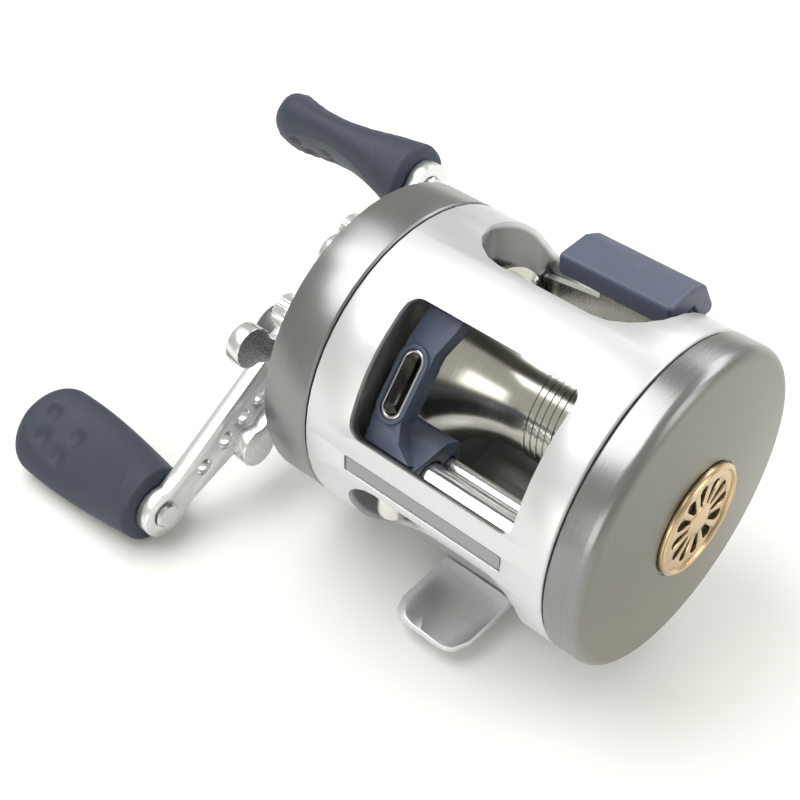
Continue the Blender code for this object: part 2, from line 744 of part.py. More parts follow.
def one_way_span():
    """The one-way bearing sits in the drive boss, from its outer lip inwards."""
    outer = DRIVE_BOSS_X + 1.0
    return outer, outer + ONE_WAY_LENGTH


def make_one_way_bearing():
    x0, x1 = one_way_span()
    rod("one_way_bearing", x0, x1, ONE_WAY_RADIUS, "steel", 28, SLEEVE_RADIUS + GAP, at=at_axis(DRIVE_AXIS))


def make_thumbscrews():
    for i, (y, z) in enumerate(THUMBSCREW_PLACES):
        head = COVER_FACE_X - GAP
        tail = GEAR_PLATE_X - 0.4
        edge = 0.4
        profile = [
            (head - THUMBSCREW_HEIGHT, 0),
            (head - THUMBSCREW_HEIGHT, THUMBSCREW_RADIUS - edge),
            (head - THUMBSCREW_HEIGHT + edge, THUMBSCREW_RADIUS),
            (head - 1.2, THUMBSCREW_RADIUS),
            (head - 1.2, THUMBSCREW_RADIUS - 0.6),
            (head, THUMBSCREW_RADIUS - 0.6),
            (head, THUMBSCREW_SHANK),
            (tail, THUMBSCREW_SHANK),
            (tail, 0),
        ]
        turned(f"takedown_thumbscrew_{i + 1}", profile, "chrome", 16, at=at_axis((y, z)))


def make_tension_cap():
    """A cap screwed over the tension boss; ridges round its edge give grip."""
    wall, inner = TENSION_CAP_WALL, TENSION_BOSS_RADIUS + GAP
    x0 = TENSION_BOSS_X - GAP - wall
    x1 = x0 + TENSION_CAP_LENGTH
    outline = []
    for ridge in range(TENSION_CAP_RIDGES):
        middle = 2 * pi * ridge / TENSION_CAP_RIDGES
        for offset, radius in ((-0.32, 0.0), (-0.18, 0.0), (0.18, -0.3), (0.32, -0.3)):
            turn = middle + offset * 2 * pi / TENSION_CAP_RIDGES * 1.4
            outline.append(
                ((TENSION_CAP_RADIUS + radius) * cos(turn), (TENSION_CAP_RADIUS + radius) * sin(turn))
            )
    cap = outline_prism(
        "cast_tension_cap", outline, x1 - x0, across(x0), "chrome", at=at_axis(SPOOL_AXIS)
    )
    cut(cap, bore_cutter("tension cap bore", x0 + wall, x1 + 1, inner, *SPOOL_AXIS, 32))


# Gear plate and what it carries


def make_gear_plate():
    x1 = GEAR_PLATE_X
    x0 = x1 - GEAR_PLATE_THICKNESS
    plate = rod("gear_plate", x0, x1, CHAMBER_RADIUS - GAP, "satin_silver", 48, at=(0, 0, AXIS_HEIGHT))
    shank = THUMBSCREW_SHANK + GAP
    cut(
        plate,
        bore_cutter("spool bearing seat", x0 - 1, x1 + 1, BEARING_RADIUS + GAP, *SPOOL_AXIS, 32),
        bore_cutter("drive shaft bore", x0 - 1, x1 + 1, SHAFT_TAIL_RADIUS + GAP, *DRIVE_AXIS, 20),
        bore_cutter("worm shaft bore", x0 - 1, x1 + 1, WORM_RADIUS + GAP, *WORM_AXIS, 20),
        bore_cutter("idler stud bore", x0 - 1, x1 + 1, IDLER_STUD_RADIUS + GAP, *idler_axis(), 16),
        outline_prism("gear plate slot", tab_slot_outline(), 5.0, across(x0 - 1), helper=True),
        *[
            bore_cutter(f"plate screw bore {i + 1}", x0 - 1, x1 + 1, shank, *place, 16)
            for i, place in enumerate(THUMBSCREW_PLACES)
        ],
        *[
            bore_cutter(f"yoke post bore {i + 1}", x0 - 1, x1 + 1, POST_RADIUS + GAP, *place, 16)
            for i, place in enumerate(yoke_post_places())
        ],
    )


def make_idler():
    axis = idler_axis()
    x1 = LEVEL_GEAR_X
    x0 = x1 - LEVEL_GEAR_WIDTH
    head = 1.9
    profile = [
        (GEAR_PLATE_X, 0),
        (GEAR_PLATE_X, IDLER_STUD_RADIUS),
        (x0 - GAP, IDLER_STUD_RADIUS),
        (x0 - GAP, head),
        (x0 - GAP - 0.7, head),
        (x0 - GAP - 0.7, 0),
    ]
    turned("idler_stud", profile, "steel", 20, at=at_axis(axis))
    phase = idler_gear_phase()
    holder = empty("idler axis", axis[0], axis[1] + AXIS_HEIGHT)
    gear = spur_gear("idler_gear", IDLER_TEETH, LEVEL_MODULE, phase, x0, x1, "brass", holder, 2)
    cut(gear, bore_cutter("idler bore", x0 - 1, x1 + 1, IDLER_STUD_RADIUS + GAP, *axis, 20))


def spur_gear(name, teeth, module, phase, x0, x1, finish, parent, flank_points):
    outline = gear_outline(teeth, module, phase, flank_points)
    return outline_prism(name, outline, x1 - x0, across(x0), finish, parent=parent)


def yoke_post_places():
    """Two posts, one on each side of the spool axis, square to the line from there to the drive shaft."""
    turn = bearing_between(DRIVE_AXIS, SPOOL_AXIS) + pi / 2
    return [
        (SPOOL_AXIS[0] + side * YOKE_REACH * cos(turn), SPOOL_AXIS[1] + side * YOKE_REACH * sin(turn))
        for side in (-1, 1)
    ]


def pinion_groove():
    """Start and end of the pinion's groove along X."""
    end = MAIN_GEAR_X - MAIN_GEAR_WIDTH - 0.7
    return end - 1.3, end


def make_yoke():
    g0, g1 = pinion_groove()
    x0 = (g0 + g1 - YOKE_THICKNESS) / 2
    turn = bearing_between(DRIVE_AXIS, SPOOL_AXIS) + pi / 2
    inner, outer = PINION_JOURNAL + 0.25, 4.6
    lug = POST_RADIUS + 1.7
    half_width = 2.2
    outline = []
    bridge = 180 / pi * asin(half_width / outer)
    for side in (0, 180):
        a = radians(side)
        outline += arc(YOKE_REACH * cos(a), YOKE_REACH * sin(a), lug, side - 120, side + 120, 10)
        outline += arc(0, 0, outer, side + bridge, side + 180 - bridge, 8)
    rotation = Matrix.Rotation(turn, 4, "X")
    matrix = rotation @ across(x0)
    yoke = outline_prism("clutch_yoke", outline, YOKE_THICKNESS, matrix, "steel", at=at_axis(SPOOL_AXIS))
    mouth = [
        (-inner, -20.0), (inner, -20.0), (inner, 0.0), *arc(0, 0, inner, 0, 180, 12)[1:-1], (-inner, 0.0)
    ]
    opening = outline_prism(
        "yoke mouth", mouth, 4.0, rotation @ across(x0 - 2), helper=True, at=at_axis(SPOOL_AXIS)
    )
    cut(yoke, opening)
    for i, place in enumerate(yoke_post_places()):
        cut(yoke, bore_cutter(f"yoke bore {i + 1}", x0 - 2, x0 + 2, POST_RADIUS + GAP, *place, 16))
        post_end = COVER_INSIDE_X - 0.2
        rod(f"yoke_post_{i + 1}", post_end, GEAR_PLATE_X, POST_RADIUS, "steel", 16, at=at_axis(place))
        spring_start = COVER_INSIDE_X + GAP
        spring_end = x0 - CLUTCH_TRAVEL - GAP
        make_spring(f"yoke_spring_{i + 1}", spring_start, spring_end, POST_RADIUS + 0.75, place)


def make_spring(name, x0, x1, radius, place):
    """A short round-wire spring, drawn as a helix of POLY points with closed ends."""
    wire = 0.17
    turns, per_turn = 1.5, 12
    curve = bpy.data.curves.new(name, "CURVE")
    curve.dimensions = "3D"
    curve.bevel_depth = wire * MM
    curve.bevel_resolution = 1
    curve.use_fill_caps = True
    spline = curve.splines.new("POLY")
    count = int(turns * per_turn) + 1
    spline.points.add(count - 1)
    for i, point in enumerate(spline.points):
        turn = 2 * pi * i / per_turn
        along = x0 + wire + (x1 - x0 - 2 * wire) * i / (count - 1)
        point.co = (along * MM, radius * cos(turn) * MM, radius * sin(turn) * MM, 1.0)
    curve.materials.append(material("steel"))
    made = bpy.data.objects.new(name, curve)
    made.location = Vector(at_axis(place)) * MM
    bpy.context.scene.collection.objects.link(made)


# Drive shaft, gears and drag


def shaft_end_x():
    return HANDLE_X - HANDLE_THICKNESS - 4.0


def make_drive(holder):
    tail_x = GEAR_PLATE_X - 0.2
    shoulder_x = GEAR_PLATE_X - GEAR_PLATE_THICKNESS - GAP
    arm_x = HANDLE_X + GAP
    end_x = shaft_end_x()
    profile = [
        (tail_x, 0),
        (tail_x, SHAFT_TAIL_RADIUS),
        (shoulder_x, SHAFT_TAIL_RADIUS),
        (shoulder_x, SHAFT_RADIUS + 1.4),
        (shoulder_x - 0.3, SHAFT_RADIUS + 1.4),
        (shoulder_x - 0.3, SHAFT_RADIUS),
        (arm_x, SHAFT_RADIUS),
        (arm_x, SHAFT_END_RADIUS),
        (end_x, SHAFT_END_RADIUS),
        (end_x, 0),
    ]
    turned("drive_shaft", profile, "steel", 20, parent=holder)

    x1 = LEVEL_GEAR_X
    level = spur_gear(
        "level_wind_drive_gear",
        LEVEL_DRIVE_TEETH,
        LEVEL_MODULE,
        radians(LEVEL_DRIVE_PHASE),
        x1 - LEVEL_GEAR_WIDTH,
        x1,
        "brass",
        holder,
        2,
    )
    main = spur_gear(
        "main_gear",
        MAIN_TEETH,
        MAIN_MODULE,
        radians(MAIN_GEAR_PHASE),
        MAIN_GEAR_X - MAIN_GEAR_WIDTH,
        MAIN_GEAR_X,
        "brass",
        holder,
        2,
    )
    bore = bore_cutter("drive gear bores", MAIN_GEAR_X - 6, x1 + 1, SHAFT_BORE, *DRIVE_AXIS, 28)
    cut(level, bore)
    floor = MAIN_GEAR_X - 1.1
    recess = bore_cutter("drag recess", MAIN_GEAR_X - 6, floor, WASHER_RADIUS + GAP, *DRIVE_AXIS, 32)
    cut(main, bore, recess)

    step = WASHER_THICKNESS + STACK_GAP
    start = floor - STACK_GAP
    stack = (("drag_washer", "drag_fibre"), ("drag_key_washer", "steel"), ("drag_pressure_plate", "steel"))
    for i, (name, finish) in enumerate(stack):
        near = start - i * step
        rod(name, near - WASHER_THICKNESS, near, WASHER_RADIUS, finish, 32, SHAFT_BORE, parent=holder)
    sleeve_start = start - len(stack) * step
    sleeve_end = STAR_X + STAR_THICKNESS / 2 + STAR_HUB_DEPTH + GAP
    rod("drag_sleeve", sleeve_end, sleeve_start, SLEEVE_RADIUS, "steel", 28, SHAFT_BORE, parent=holder)


def make_star(holder):
    """Five rounded arms on a hub that bears on the drag sleeve."""
    x0 = STAR_X - STAR_THICKNESS / 2
    neck = 2.0
    lobe_gap = sqrt(STAR_LOBE_RADIUS**2 - neck**2)
    outline = []
    for arm in range(STAR_ARMS):
        turn = radians(STAR_PHASE + 360 * arm / STAR_ARMS)
        start = sqrt(STAR_HUB_RADIUS**2 - (neck * 1.25) ** 2)
        shape = [(start, -neck * 1.25), (STAR_REACH - lobe_gap - 2.0, -neck * 0.95)]
        shape += arc(STAR_REACH, 0, STAR_LOBE_RADIUS, -140, 140, 12)
        shape += [(STAR_REACH - lobe_gap - 2.0, neck * 0.95), (start, neck * 1.25)]
        outline += [(u * cos(turn) - v * sin(turn), u * sin(turn) + v * cos(turn)) for u, v in shape]
        middle = turn + pi / STAR_ARMS
        outline.append((STAR_HUB_RADIUS * cos(middle), STAR_HUB_RADIUS * sin(middle)))
    star = outline_prism("star_drag", outline, STAR_THICKNESS, across(x0), "handle_aluminium", parent=holder)
    hub_end = STAR_X + STAR_THICKNESS / 2 + STAR_HUB_DEPTH
    hub = rod(
        "star hub", STAR_X, hub_end, STAR_HUB_RADIUS - 0.8, None, 36, at=at_axis(DRIVE_AXIS), helper=True
    )
    boolean(star, hub, "UNION")
    cut(star, bore_cutter("star bore", x0 - 1, hub_end + 1, SHAFT_BORE, *DRIVE_AXIS, 28))


# Handle


def handle_outline():
    """Half of the arm from the centre to its round end, then the other half turned about the centre."""
    end = HANDLE_SPAN / 2
    meet = asin(HANDLE_NECK_HALF / HANDLE_END_RADIUS)
    neck_x = end - HANDLE_END_RADIUS * cos(meet)
    half = [(2.5, -HANDLE_HUB_HALF), (8.0, -HANDLE_HUB_HALF + 0.6), (neck_x - 3.0, -HANDLE_NECK_HALF - 0.1)]
    swing = 180 - meet * 180 / pi
    half += arc(end, 0, HANDLE_END_RADIUS, -swing, swing, 14)
    half += [(neck_x - 3.0, HANDLE_NECK_HALF + 0.1), (8.0, HANDLE_HUB_HALF - 0.6), (2.5, HANDLE_HUB_HALF)]
    turned_half = [(-u, -v) for u, v in half]
    turn = radians(HANDLE_ANGLE)
    return [(u * cos(turn) - v * sin(turn), u * sin(turn) + v * cos(turn)) for u, v in half + turned_half]


def handle_point(distance):
    """(y, z) of a point on the arm's centre line, from the drive axis; positive is towards the rear knob."""
    turn = radians(HANDLE_ANGLE)
    return distance * cos(turn), distance * sin(turn)


def make_handle(holder):
    x1 = HANDLE_X
    x0 = x1 - HANDLE_THICKNESS
    arm = outline_prism(
        "handle_arm", handle_outline(), HANDLE_THICKNESS, across(x0), "handle_aluminium", parent=holder
    )
    cutters = [bore_cutter("handle hub bore", x0 - 1, x1 + 1, SHAFT_END_RADIUS + GAP, *DRIVE_AXIS, 24)]
    for side in (-1, 1):
        y, z = handle_point(side * HANDLE_SPAN / 2)
        place = (DRIVE_AXIS[0] + y, DRIVE_AXIS[1] + z)
        cutters.append(
            bore_cutter(f"knob pin bore {side}", x0 - 1, x1 + 1, KNOB_PIN_RADIUS + GAP, *place, 20)
        )
        for number, (from_end, radius) in enumerate(HANDLE_HOLES):
            y, z = handle_point(side * (HANDLE_SPAN / 2 - from_end))
            place = (DRIVE_AXIS[0] + y, DRIVE_AXIS[1] + z)
            cutters.append(
                bore_cutter(f"lightening hole {side} {number}", x0 - 1, x1 + 1, radius, *place, 16)
            )
    cut(arm, *cutters)

    nut_x1 = x0 - GAP
    nut_x0 = nut_x1 - NUT_HEIGHT
    nut = outline_prism(
        "handle_nut", circle(NUT_RADIUS, 6), nut_x1 - nut_x0, across(nut_x0), "steel", parent=holder
    )
    cut(nut, bore_cutter("nut bore", nut_x0 - 1, nut_x1 + 1, SHAFT_END_RADIUS + GAP, *DRIVE_AXIS, 24))
    inner, outer = NUT_RADIUS + GAP, NUT_CAP_RADIUS
    top = nut_x0 - 2.2
    profile = [
        (nut_x1, inner),
        (nut_x1, outer),
        (top + 1.2, outer),
        (top + 0.35, outer - 0.5),
        (top, outer - 1.5),
        (top, 1.3),
        (top + 0.9, 1.3),
        (top + 0.9, inner),
    ]
    turned("handle_nut_cap", profile, "dark_gunmetal", 28, parent=holder)
    head = top - GAP
    end = shaft_end_x() - GAP
    profile = [
        (head - 0.7, 0), (head - 0.7, 1.6), (head - 0.3, 2.0), (head, 2.0), (head, 1.0), (end, 1.0), (end, 0)
    ]
    turned("nut_cap_screw", profile, "steel", 20, parent=holder)


def knob_half_widths(t, base):
    """Half widths of a knob across its broad and its thin side; t goes from 0 at the arm to 1 at its end."""
    broad = base + 1.5 * sin(pi * min(1.0, t / 0.9)) ** 1.2
    thin = base - 2.6 * sin(pi * min(1.0, t * 0.92)) ** 1.5 - 1.1 * t
    return broad, thin


def make_knob(name, side, rest_angle, holder):
    """A soft paddle: round at the arm, waisted on its thin side, broad and rounded at its far end."""
    y, z = handle_point(side * HANDLE_SPAN / 2)
    y, z = y + DRIVE_AXIS[0], z + DRIVE_AXIS[1]
    axis = empty(name + " axis", y, z + AXIS_HEIGHT)
    start = HANDLE_X - HANDLE_THICKNESS - GAP
    turn = radians(rest_angle)
    bm = bmesh.new()
    around = 18
    stations = [0.0, 0.03, 0.1, 0.22, 0.36, 0.5, 0.64, 0.77, 0.87, 0.94, 0.98, 1.0]
    rings = []
    for t in stations:
        broad, thin = knob_half_widths(t, KNOB_BASE_RADIUS)
        close = sqrt(max(0.0, 1 - max(0.0, (t - 0.74) / 0.26) ** 2.4))
        soft = 0.86 if t == 0.0 else 1.0
        broad *= soft * max(close, 0.30)
        thin *= soft * max(close**0.6, 0.55)
        ring = []
        for i in range(around):
            a = 2 * pi * i / around
            u = broad * abs(cos(a)) ** 0.85 * (1 if cos(a) >= 0 else -1)
            v = thin * abs(sin(a)) ** 0.85 * (1 if sin(a) >= 0 else -1)
            ring.append(
                bm.verts.new(
                    (start - KNOB_LENGTH * t, u * cos(turn) - v * sin(turn), u * sin(turn) + v * cos(turn))
                )
            )
        rings.append(ring)
    for first, second in zip(rings, rings[1:]):
        for i in range(around):
            j = (i + 1) % around
            bm.faces.new((first[i], first[j], second[j], second[i]))
    bm.faces.new(rings[0])
    bm.faces.new(rings[-1])
    knob = finish_mesh(name, bm, "slate_rubber", parent=axis)
    pocket = start - KNOB_LENGTH * 0.62
    cut(knob, bore_cutter(name + " bore", pocket, start + 1, KNOB_BORE, y, z, 20))

    pin_end = pocket + GAP
    inner_face = HANDLE_X
    profile = [
        (inner_face + 0.7, 0),
        (inner_face + 0.7, 1.9),
        (inner_face + GAP, 2.3),
        (inner_face + GAP, KNOB_PIN_RADIUS),
        (pin_end, KNOB_PIN_RADIUS),
        (pin_end, 0),
    ]
    side_name = "front" if side < 0 else "rear"
    pin_y, pin_z = handle_point(side * HANDLE_SPAN / 2)
    turned(f"knob_pin_{side_name}", profile, "steel", 20, parent=holder, at=(0, pin_y, pin_z))


# Spool and pinion


def spool_profile():
    """Closed outline of the hollow spool: bell flare at the handle side, a tighter one at the palm side."""
    left, right = SPOOL_LEFT, SPOOL_RIGHT
    flange, arbor, radius = SPOOL_FLANGE, SPOOL_ARBOR, SPOOL_RADIUS
    bell_end, tight_start = left + 14.5, right - 6.0
    outer = [(left, radius), (left + 0.8, radius)]
    for i in range(6):
        t = i / 5
        outer.append(
            (left + flange + (bell_end - left - flange) * t, arbor + (radius - 0.9 - arbor) * (1 - t) ** 2.2)
        )
    for i in range(5):
        t = i / 4
        outer.append(
            (tight_start + (right - flange - tight_start) * t, arbor + (radius - 0.9 - arbor) * t**2.2)
        )
    outer += [(right - 0.8, radius), (right, radius)]
    wall = 1.3
    hub = SPOOL_SHAFT_RADIUS + 2.6
    web = (left + right) / 2 - 0.275
    inner = [
        (right, radius - 1.6),
        (web + 8.75, arbor - wall),
        (web + 2.0, arbor - wall),
        (web + 2.0, hub),
        (right - 1.2, hub),
        (right - 1.2, SPOOL_BORE),
        (left + 1.2, SPOOL_BORE),
        (left + 1.2, hub),
        (web - 2.0, hub),
        (web - 2.0, arbor - wall),
        (web - 4.8, arbor - wall),
        (left + 1.4, radius - 2.6),
        (left, radius - 1.6),
    ]
    return outer + inner


def make_spool(holder):
    turned("spool", spool_profile(), "polished_aluminium", 32, parent=holder)
    thin_end = GEAR_PLATE_X - GEAR_PLATE_THICKNESS - 1.0
    left = TENSION_BOSS_X + 0.6
    right = brake_plate_x() - 0.1
    profile = [
        (left, 0),
        (left, PINION_SHAFT_RADIUS),
        (thin_end, PINION_SHAFT_RADIUS),
        (thin_end, SPOOL_SHAFT_RADIUS),
        (right, SPOOL_SHAFT_RADIUS),
        (right, 0),
    ]
    shaft = turned("spool_shaft", profile, "steel", 20, parent=holder)
    pin_x = clutch_pin_x()
    hole_radius = CLUTCH_PIN_RADIUS + 0.1
    hole = turned(
        "clutch pin hole",
        [(-5, 0), (-5, hole_radius), (5, hole_radius), (5, 0)],
        None,
        12,
        "Z",
        (pin_x, 0, 0),
        helper=True,
        parent=None,
        at=at_axis(SPOOL_AXIS),
    )
    cut(shaft, hole)
    length = pinion_pitch_radius() - 0.1
    profile = [(-length, 0), (-length, CLUTCH_PIN_RADIUS), (length, CLUTCH_PIN_RADIUS), (length, 0)]
    turned("clutch_pin", profile, "steel", 12, "Z", (pin_x, 0, 0), parent=holder)


def clutch_pin_x():
    return pinion_end_x() - 0.75


def pinion_end_x():
    return GEAR_PLATE_X - GEAR_PLATE_THICKNESS - 1.7


def pinion_pitch_radius():
    return PINION_TEETH * MAIN_MODULE / 2


def make_pinion(holder):
    g0, g1 = pinion_groove()
    end = pinion_end_x()
    bearing = bearing_between(DRIVE_AXIS, SPOOL_AXIS)
    phase = meshing_phase(radians(MAIN_GEAR_PHASE), MAIN_TEETH, PINION_TEETH, bearing)
    pinion = outline_prism(
        "pinion_gear",
        gear_outline(PINION_TEETH, MAIN_MODULE, phase, 3),
        end - g1,
        across(g1),
        "brass",
        parent=holder,
    )
    journal, collar = PINION_JOURNAL, pinion_pitch_radius() + 0.5
    profile = [
        (COVER_INSIDE_X - 3.0, 0),
        (COVER_INSIDE_X - 3.0, journal),
        (g0 - 0.9, journal),
        (g0 - 0.9, collar),
        (g0, collar),
        (g0, journal - 0.2),
        (g1 + 0.2, journal - 0.2),
        (g1 + 0.2, 0),
    ]
    body = turned("pinion body", profile, None, 24, helper=True, at=at_axis(SPOOL_AXIS))
    boolean(pinion, body, "UNION")
    bore = bore_cutter("pinion bore", COVER_INSIDE_X - 5, end + 1, PINION_SHAFT_RADIUS + GAP, *SPOOL_AXIS, 16)
    slot_half = CLUTCH_PIN_RADIUS + GAP
    slot = [(-slot_half, -8), (slot_half, -8), (slot_half, 8), (-slot_half, 8)]
    notch = outline_prism(
        "pinion slot", slot, 4.0, across(clutch_pin_x() - 0.65), helper=True, at=at_axis(SPOOL_AXIS)
    )
    cut(pinion, bore, notch)


def make_bearings():
    x1 = GEAR_PLATE_X
    rod(
        "spool_bearing_handle",
        x1 - BEARING_WIDTH,
        x1,
        BEARING_RADIUS,
        "steel",
        24,
        SPOOL_BORE,
        at=at_axis(SPOOL_AXIS),
    )
    x0 = brake_plate_x() - BEARING_WIDTH + 0.4
    rod(
        "spool_bearing_palm",
        x0,
        x0 + BEARING_WIDTH,
        BEARING_RADIUS,
        "steel",
        24,
        SPOOL_BORE,
        at=at_axis(SPOOL_AXIS),
    )


# Level wind


def make_worm(holder):
    """Worm shaft with a groove wound both ways, on the axis of its tube."""
    x0 = LEVEL_GEAR_X - LEVEL_GEAR_WIDTH - 0.6
    x1 = PALM_WALL_X + 0.6
    thread_start, thread_end = HANDLE_WALL_X + SIDE_WALL + 1.2, PALM_WALL_X - SIDE_WALL - 0.6
    bm = bmesh.new()
    around, rows = 12, 32
    radius = WORM_RADIUS

    def groove(turn, x):
        depth = 0.0
        for direction in (-1, 1):
            wave = cos(direction * turn - 2 * pi * (x - thread_start) / WORM_LEAD)
            depth = max(depth, (wave - 0.45) / 0.55)
        return WORM_GROOVE_DEPTH * max(0.0, depth)

    places = [x0, thread_start - 0.2]
    places += [thread_start + (thread_end - thread_start) * i / rows for i in range(rows + 1)]
    places += [thread_end + 0.2, x1]
    rings = []
    for x in places:
        cutting = thread_start <= x <= thread_end
        ring = []
        for i in range(around):
            turn = 2 * pi * i / around
            r = radius - (groove(turn, x) if cutting else 0.0)
            ring.append(bm.verts.new((x, r * cos(turn), r * sin(turn))))
        rings.append(ring)
    for first, second in zip(rings, rings[1:]):
        for i in range(around):
            j = (i + 1) % around
            bm.faces.new((first[i], first[j], second[j], second[i]))
    bm.faces.new(rings[0])
    bm.faces.new(rings[-1])
    finish_mesh("worm_shaft", bm, "steel", parent=holder)

    bearing = bearing_between(idler_axis(), WORM_AXIS)
    phase = meshing_phase(idler_gear_phase(), IDLER_TEETH, WORM_GEAR_TEETH, bearing)
    gear_x1 = LEVEL_GEAR_X
    gear_x0 = gear_x1 - LEVEL_GEAR_WIDTH
    gear = spur_gear(
        "worm_gear", WORM_GEAR_TEETH, LEVEL_MODULE, phase, gear_x0, gear_x1, "slate_plastic", holder, 2
    )
    cut(gear, bore_cutter("worm gear bore", gear_x0 - 1, gear_x1 + 1, WORM_RADIUS + GAP, *WORM_AXIS, 20))


def make_worm_tube():
    x0, x1 = HANDLE_WALL_X + 0.1, PALM_WALL_X - 0.1
    inner = WORM_TUBE_RADIUS - WORM_TUBE_WALL
    tube = rod("worm_tube", x0, x1, WORM_TUBE_RADIUS, "chrome", 24, inner, at=at_axis(WORM_AXIS))
    slot_x0 = HANDLE_WALL_X + SIDE_WALL + 0.8
    slot_x1 = PALM_WALL_X - SIDE_WALL - 0.8
    middle = (slot_x0 + slot_x1) / 2
    for name, angle, width in (("pawl slot", 180.0, 2 * (PAWL_RADIUS + GAP)), ("front slot", 78.0, 2.2)):
        a = radians(angle)
        normal = Vector((0, -sin(a), cos(a)))
        rise = Vector((0, cos(a), sin(a)))
        origin = Vector((middle, WORM_AXIS[0], WORM_AXIS[1] + AXIS_HEIGHT)) + normal * 1.0
        columns = (Vector((1, 0, 0)), rise, normal)
        matrix = Matrix([[c[row] for c in columns] + [origin[row]] for row in range(3)] + [[0, 0, 0, 1]])
        outline = rounded_rectangle(slot_x1 - slot_x0, width, width / 2 - 0.01, 5)
        cut(tube, outline_prism(name, outline, 4.0, matrix, helper=True))
    rod_x0, rod_x1 = HANDLE_WALL_X + 0.1, PALM_WALL_X - 0.1
    rod("guide_rod", rod_x0, rod_x1, GUIDE_ROD_RADIUS, "steel", 20, at=at_axis(GUIDE_ROD_AXIS))
    cap_x0 = PALM_WALL_X + 0.1
    bore = WORM_RADIUS + GAP
    rod(
        "worm_end_bush",
        cap_x0,
        cap_x0 + 0.8,
        WORM_TUBE_RADIUS + 0.6,
        "brass",
        24,
        bore,
        at=at_axis(WORM_AXIS),
    )


def guide_plane(distance):
    """The line guide's tower stands square to the direction of the front window."""
    return outward(WINDOW_ANGLE, distance)


def eyelet_centre():
    """(x, height) of the eyelet on the tower's face."""
    return GUIDE_REST_X + 2.7, -1.4


def make_line_guide():
    block_x0 = GUIDE_REST_X
    y_front, y_back = -SPOOL_CHAMBER_RADIUS + 0.45, SPOOL_AXIS[0] - SPOOL_RADIUS - 0.45
    bore_reach = WORM_TUBE_RADIUS + GAP
    z_low = AXIS_HEIGHT + WORM_AXIS[1] - bore_reach - 0.5
    z_high = AXIS_HEIGHT + WORM_AXIS[1] + bore_reach + 1.0
    block = [
        (y_back, z_low),
        (y_back, z_high - 1.6),
        (y_back - 2.4, z_high),
        (y_front + 0.6, z_high - 0.2),
        (y_front, z_high - 1.2),
        (y_front, z_low + 1.4),
        (y_front + 1.2, z_low),
    ]
    guide = outline_prism("line_guide", block, GUIDE_BLOCK_LENGTH, across(block_x0), "slate_plastic")
    x0 = GUIDE_REST_X
    tower = [
        (x0 + 0.9, -11.2),
        (x0 + 0.2, -7.0),
        (x0 + 0.2, 5.0),
        (x0 + 1.2, 10.4),
        (x0 + 7.2, 10.8),
        (x0 + 7.0, 9.0),
        (x0 + 5.5, 4.6),
        (x0 + 5.2, -6.5),
        (x0 + 6.4, -9.4),
        (x0 + 9.4, -11.2),
    ]
    upright = outline_prism(
        "line guide tower", tower, GUIDE_THICKNESS, guide_plane(GUIDE_FACE - GUIDE_THICKNESS), helper=True
    )
    boolean(guide, upright, "UNION")
    eye_x, eye_height = eyelet_centre()
    eye_hole = outline_prism(
        "eyelet hole",
        rounded_rectangle(
            EYELET_WIDTH - 2 * EYELET_WALL * 0.5 + 2 * GAP,
            EYELET_LENGTH - EYELET_WALL + 2 * GAP,
            2.4,
            6,
            eye_x,
            eye_height,
        ),
        GUIDE_THICKNESS + 4,
        guide_plane(GUIDE_FACE - GUIDE_THICKNESS - 2),
        helper=True,
    )
    ends = (block_x0 - 3, block_x0 + GUIDE_BLOCK_LENGTH + 3)
    pawl_y, pawl_z = WORM_AXIS[0], WORM_AXIS[1] + AXIS_HEIGHT
    pawl_bore = turned(
        "pawl bore",
        [(z_low - 2, 0), (z_low - 2, PAWL_RADIUS + GAP), (pawl_z, PAWL_RADIUS + GAP), (pawl_z, 0)],
        None,
        16,
        "Z",
        (pawl_x(), pawl_y, 0),
        helper=True,
    )
    cut(
        guide,
        bore_cutter("guide tube bore", *ends, WORM_TUBE_RADIUS + GAP, *WORM_AXIS, 28),
        bore_cutter("guide rod bore", *ends, GUIDE_ROD_RADIUS + GAP, *GUIDE_ROD_AXIS, 20),
        eye_hole,
        pawl_bore,
    )
    eyelet = outline_prism(
        "line_guide_eyelet",
        rounded_rectangle(EYELET_WIDTH - EYELET_WALL, EYELET_LENGTH - EYELET_WALL, 2.1, 6, eye_x, eye_height),
        GUIDE_THICKNESS + 0.8,
        guide_plane(GUIDE_FACE - GUIDE_THICKNESS - 0.4),
        "chrome",
    )
    opening = outline_prism(
        "eyelet opening",
        rounded_rectangle(
            EYELET_WIDTH - 3 * EYELET_WALL, EYELET_LENGTH - 3 * EYELET_WALL, 1.2, 5, eye_x, eye_height
        ),
        GUIDE_THICKNESS + 4,
        guide_plane(GUIDE_FACE - GUIDE_THICKNESS - 2),
        helper=True,
    )
    cut(eyelet, opening)

    tip = pawl_z - WORM_RADIUS - 0.25
    bottom = AXIS_HEIGHT + PAWL_CAP_BOTTOM
    cap_top = z_low - GAP
    floor = cap_top - 2.0
    centre = (pawl_x(), pawl_y, 0)
    pawl = [(floor + 0.2, 0), (floor + 0.2, PAWL_RADIUS), (tip - 0.6, PAWL_RADIUS), (tip, 0.5), (tip, 0)]
    turned("level_wind_pawl", pawl, "steel", 16, "Z", centre)
    bore = PAWL_RADIUS + GAP
    cap = [
        (bottom, 0),
        (bottom, PAWL_CAP_RADIUS - 0.8),
        (bottom + 0.3, PAWL_CAP_RADIUS - 0.3),
        (bottom + 0.9, PAWL_CAP_RADIUS),
    ]
    cap += [(cap_top, PAWL_CAP_RADIUS), (cap_top, bore), (floor, bore), (floor, 0)]
    turned("pawl_cap", cap, "chrome", 22, "Z", centre)


def pawl_x():
    return GUIDE_REST_X + 3.2


# Thumb bar


